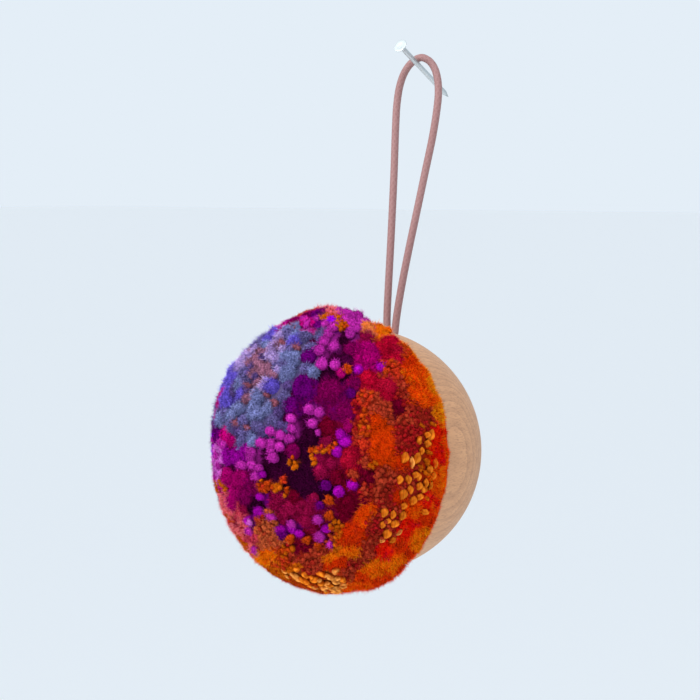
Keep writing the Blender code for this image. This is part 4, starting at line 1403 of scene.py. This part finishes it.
combed = combing.node("GeometryNodeInstanceOnPoints", {
    "Points": roots, "Rotation": stance, "Scale": hair_size, "Instance": hair})
combed = combing.node("GeometryNodeRealizeInstances", {"Geometry": combed})
combed = combing.keep(combed, "rise", combing.named("hair_rise"))
hair_across = combing.node("ShaderNodeSeparateXYZ", {0: combing.named("hair_map", 'FLOAT_VECTOR')})
hair_along = hair_across.twin(1)
strip = combing.named("yarn_row") + hair_along * STRIP_HIGH + STRIP_FROM
on_map = combing.node("ShaderNodeCombineXYZ", {
    0: combing.named("column") * COLUMNS_WIDE + hair_across * STRIP_WIDE + COLUMNS_FROM,
    1: strip * given["Row"]})
combed = combing.keep(combed, "OFBake", on_map, 'FLOAT2', 'CORNER')
end_growth(combing, combed, given["Finish"])


def hairy_area(mesh):
    """Area that bears fibres, in square metres, each part counted by how thickly it bears them."""
    rise, fuzz = mesh.attributes["rise"].data, mesh.attributes["fuzz"]
    total = 0.0
    for face in mesh.polygons:
        here = fuzz.data[face.index if fuzz.domain == 'FACE' else face.vertices[0]].value
        high = sum(max(rise[index].value - BARE_BELOW, 0.0) for index in face.vertices)
        total += face.area * here * high / len(face.vertices)
    return total


# Painted shade at each fibre's root and a painted highlight at its tip
fibre_finish = yarn_finish("yarn_fibres", root_light=0.65, tip_light=1.95, mottling=0.0)
for name, ground, count, length, width, lean, seed in FIBRE_SETS:
    base = growing_on[ground]
    piece = grown(
        name, base, combing, Fibre=one_hair, Density=count / hairy_area(base.data),
        Bare_below=BARE_BELOW, Length=length * MM, Width=width * MM, Lean=math.radians(lean),
        Seed=seed, Row=1.0 / len(YARNS), Finish=fibre_finish)
    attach(piece, "root")
    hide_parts("pom_pom")
bpy.data.objects.remove(one_hair)


# ==== Floor, light and air ====================================================================
# A plain pale floor well below the object, one big soft lamp from the upper left, weak ones from
# the right, from above and from below, and an even, slightly blue daylight from all round.

FLOOR_DEPTH = -1000.0 * MM
FLOOR_REACH = 60.0
FLOOR_COLOUR = (0.97, 0.97, 0.97, 1.0)
FLOOR_ROUGHNESS = 0.9
DAYLIGHT = (0.776, 0.855, 0.930, 1.0)
LAMPS = (
    # name, place (m), size (m), power (W), colour
    ("window_lamp", (-0.55, -1.05, 0.65), 0.7, 15.0, (1.0, 0.97, 0.93)),
    ("side_lamp", (0.80, -0.7, 1.05), 0.8, 9.0, (1.0, 0.97, 0.95)),
    ("low_lamp", (0.60, -0.95, -0.65), 0.9, 3.6, (1.0, 0.98, 0.96)),
    ("sky_lamp", (0.30, -0.25, 1.20), 0.8, 4.0, (0.92, 0.96, 1.0)),
)

floor_finish, paint, shader = new_finish("plain_floor")
shader.inputs["Base Color"].default_value = FLOOR_COLOUR
shader.inputs["Roughness"].default_value = FLOOR_ROUGHNESS
floor_mesh = bpy.data.meshes.new("floor")
floor_corners = [(x * FLOOR_REACH, y * FLOOR_REACH, FLOOR_DEPTH)
                 for x, y in ((-1, -1), (1, -1), (1, 1), (-1, 1))]
floor_mesh.from_pydata(floor_corners, [], [(0, 1, 2, 3)])
floor_mesh.materials.append(floor_finish)
floor = placed("floor", floor_mesh)

for name, lamp_place, size, power, colour in LAMPS:
    lamp = placed(name, bpy.data.lights.new(name, 'AREA'))
    lamp.data.size, lamp.data.energy, lamp.data.color = size, power, colour
    lamp.location = lamp_place
    lamp.rotation_euler = (AIM_POINT - Vector(lamp_place)).to_track_quat('-Z', 'Y').to_euler()
    lamp.visible_camera = False

air = bpy.data.worlds.new("daylight")
air.use_nodes = True
air.node_tree.nodes["Background"].inputs["Color"].default_value = DAYLIGHT
bpy.context.scene.world = air
bpy.context.scene.view_settings.view_transform = 'Standard'
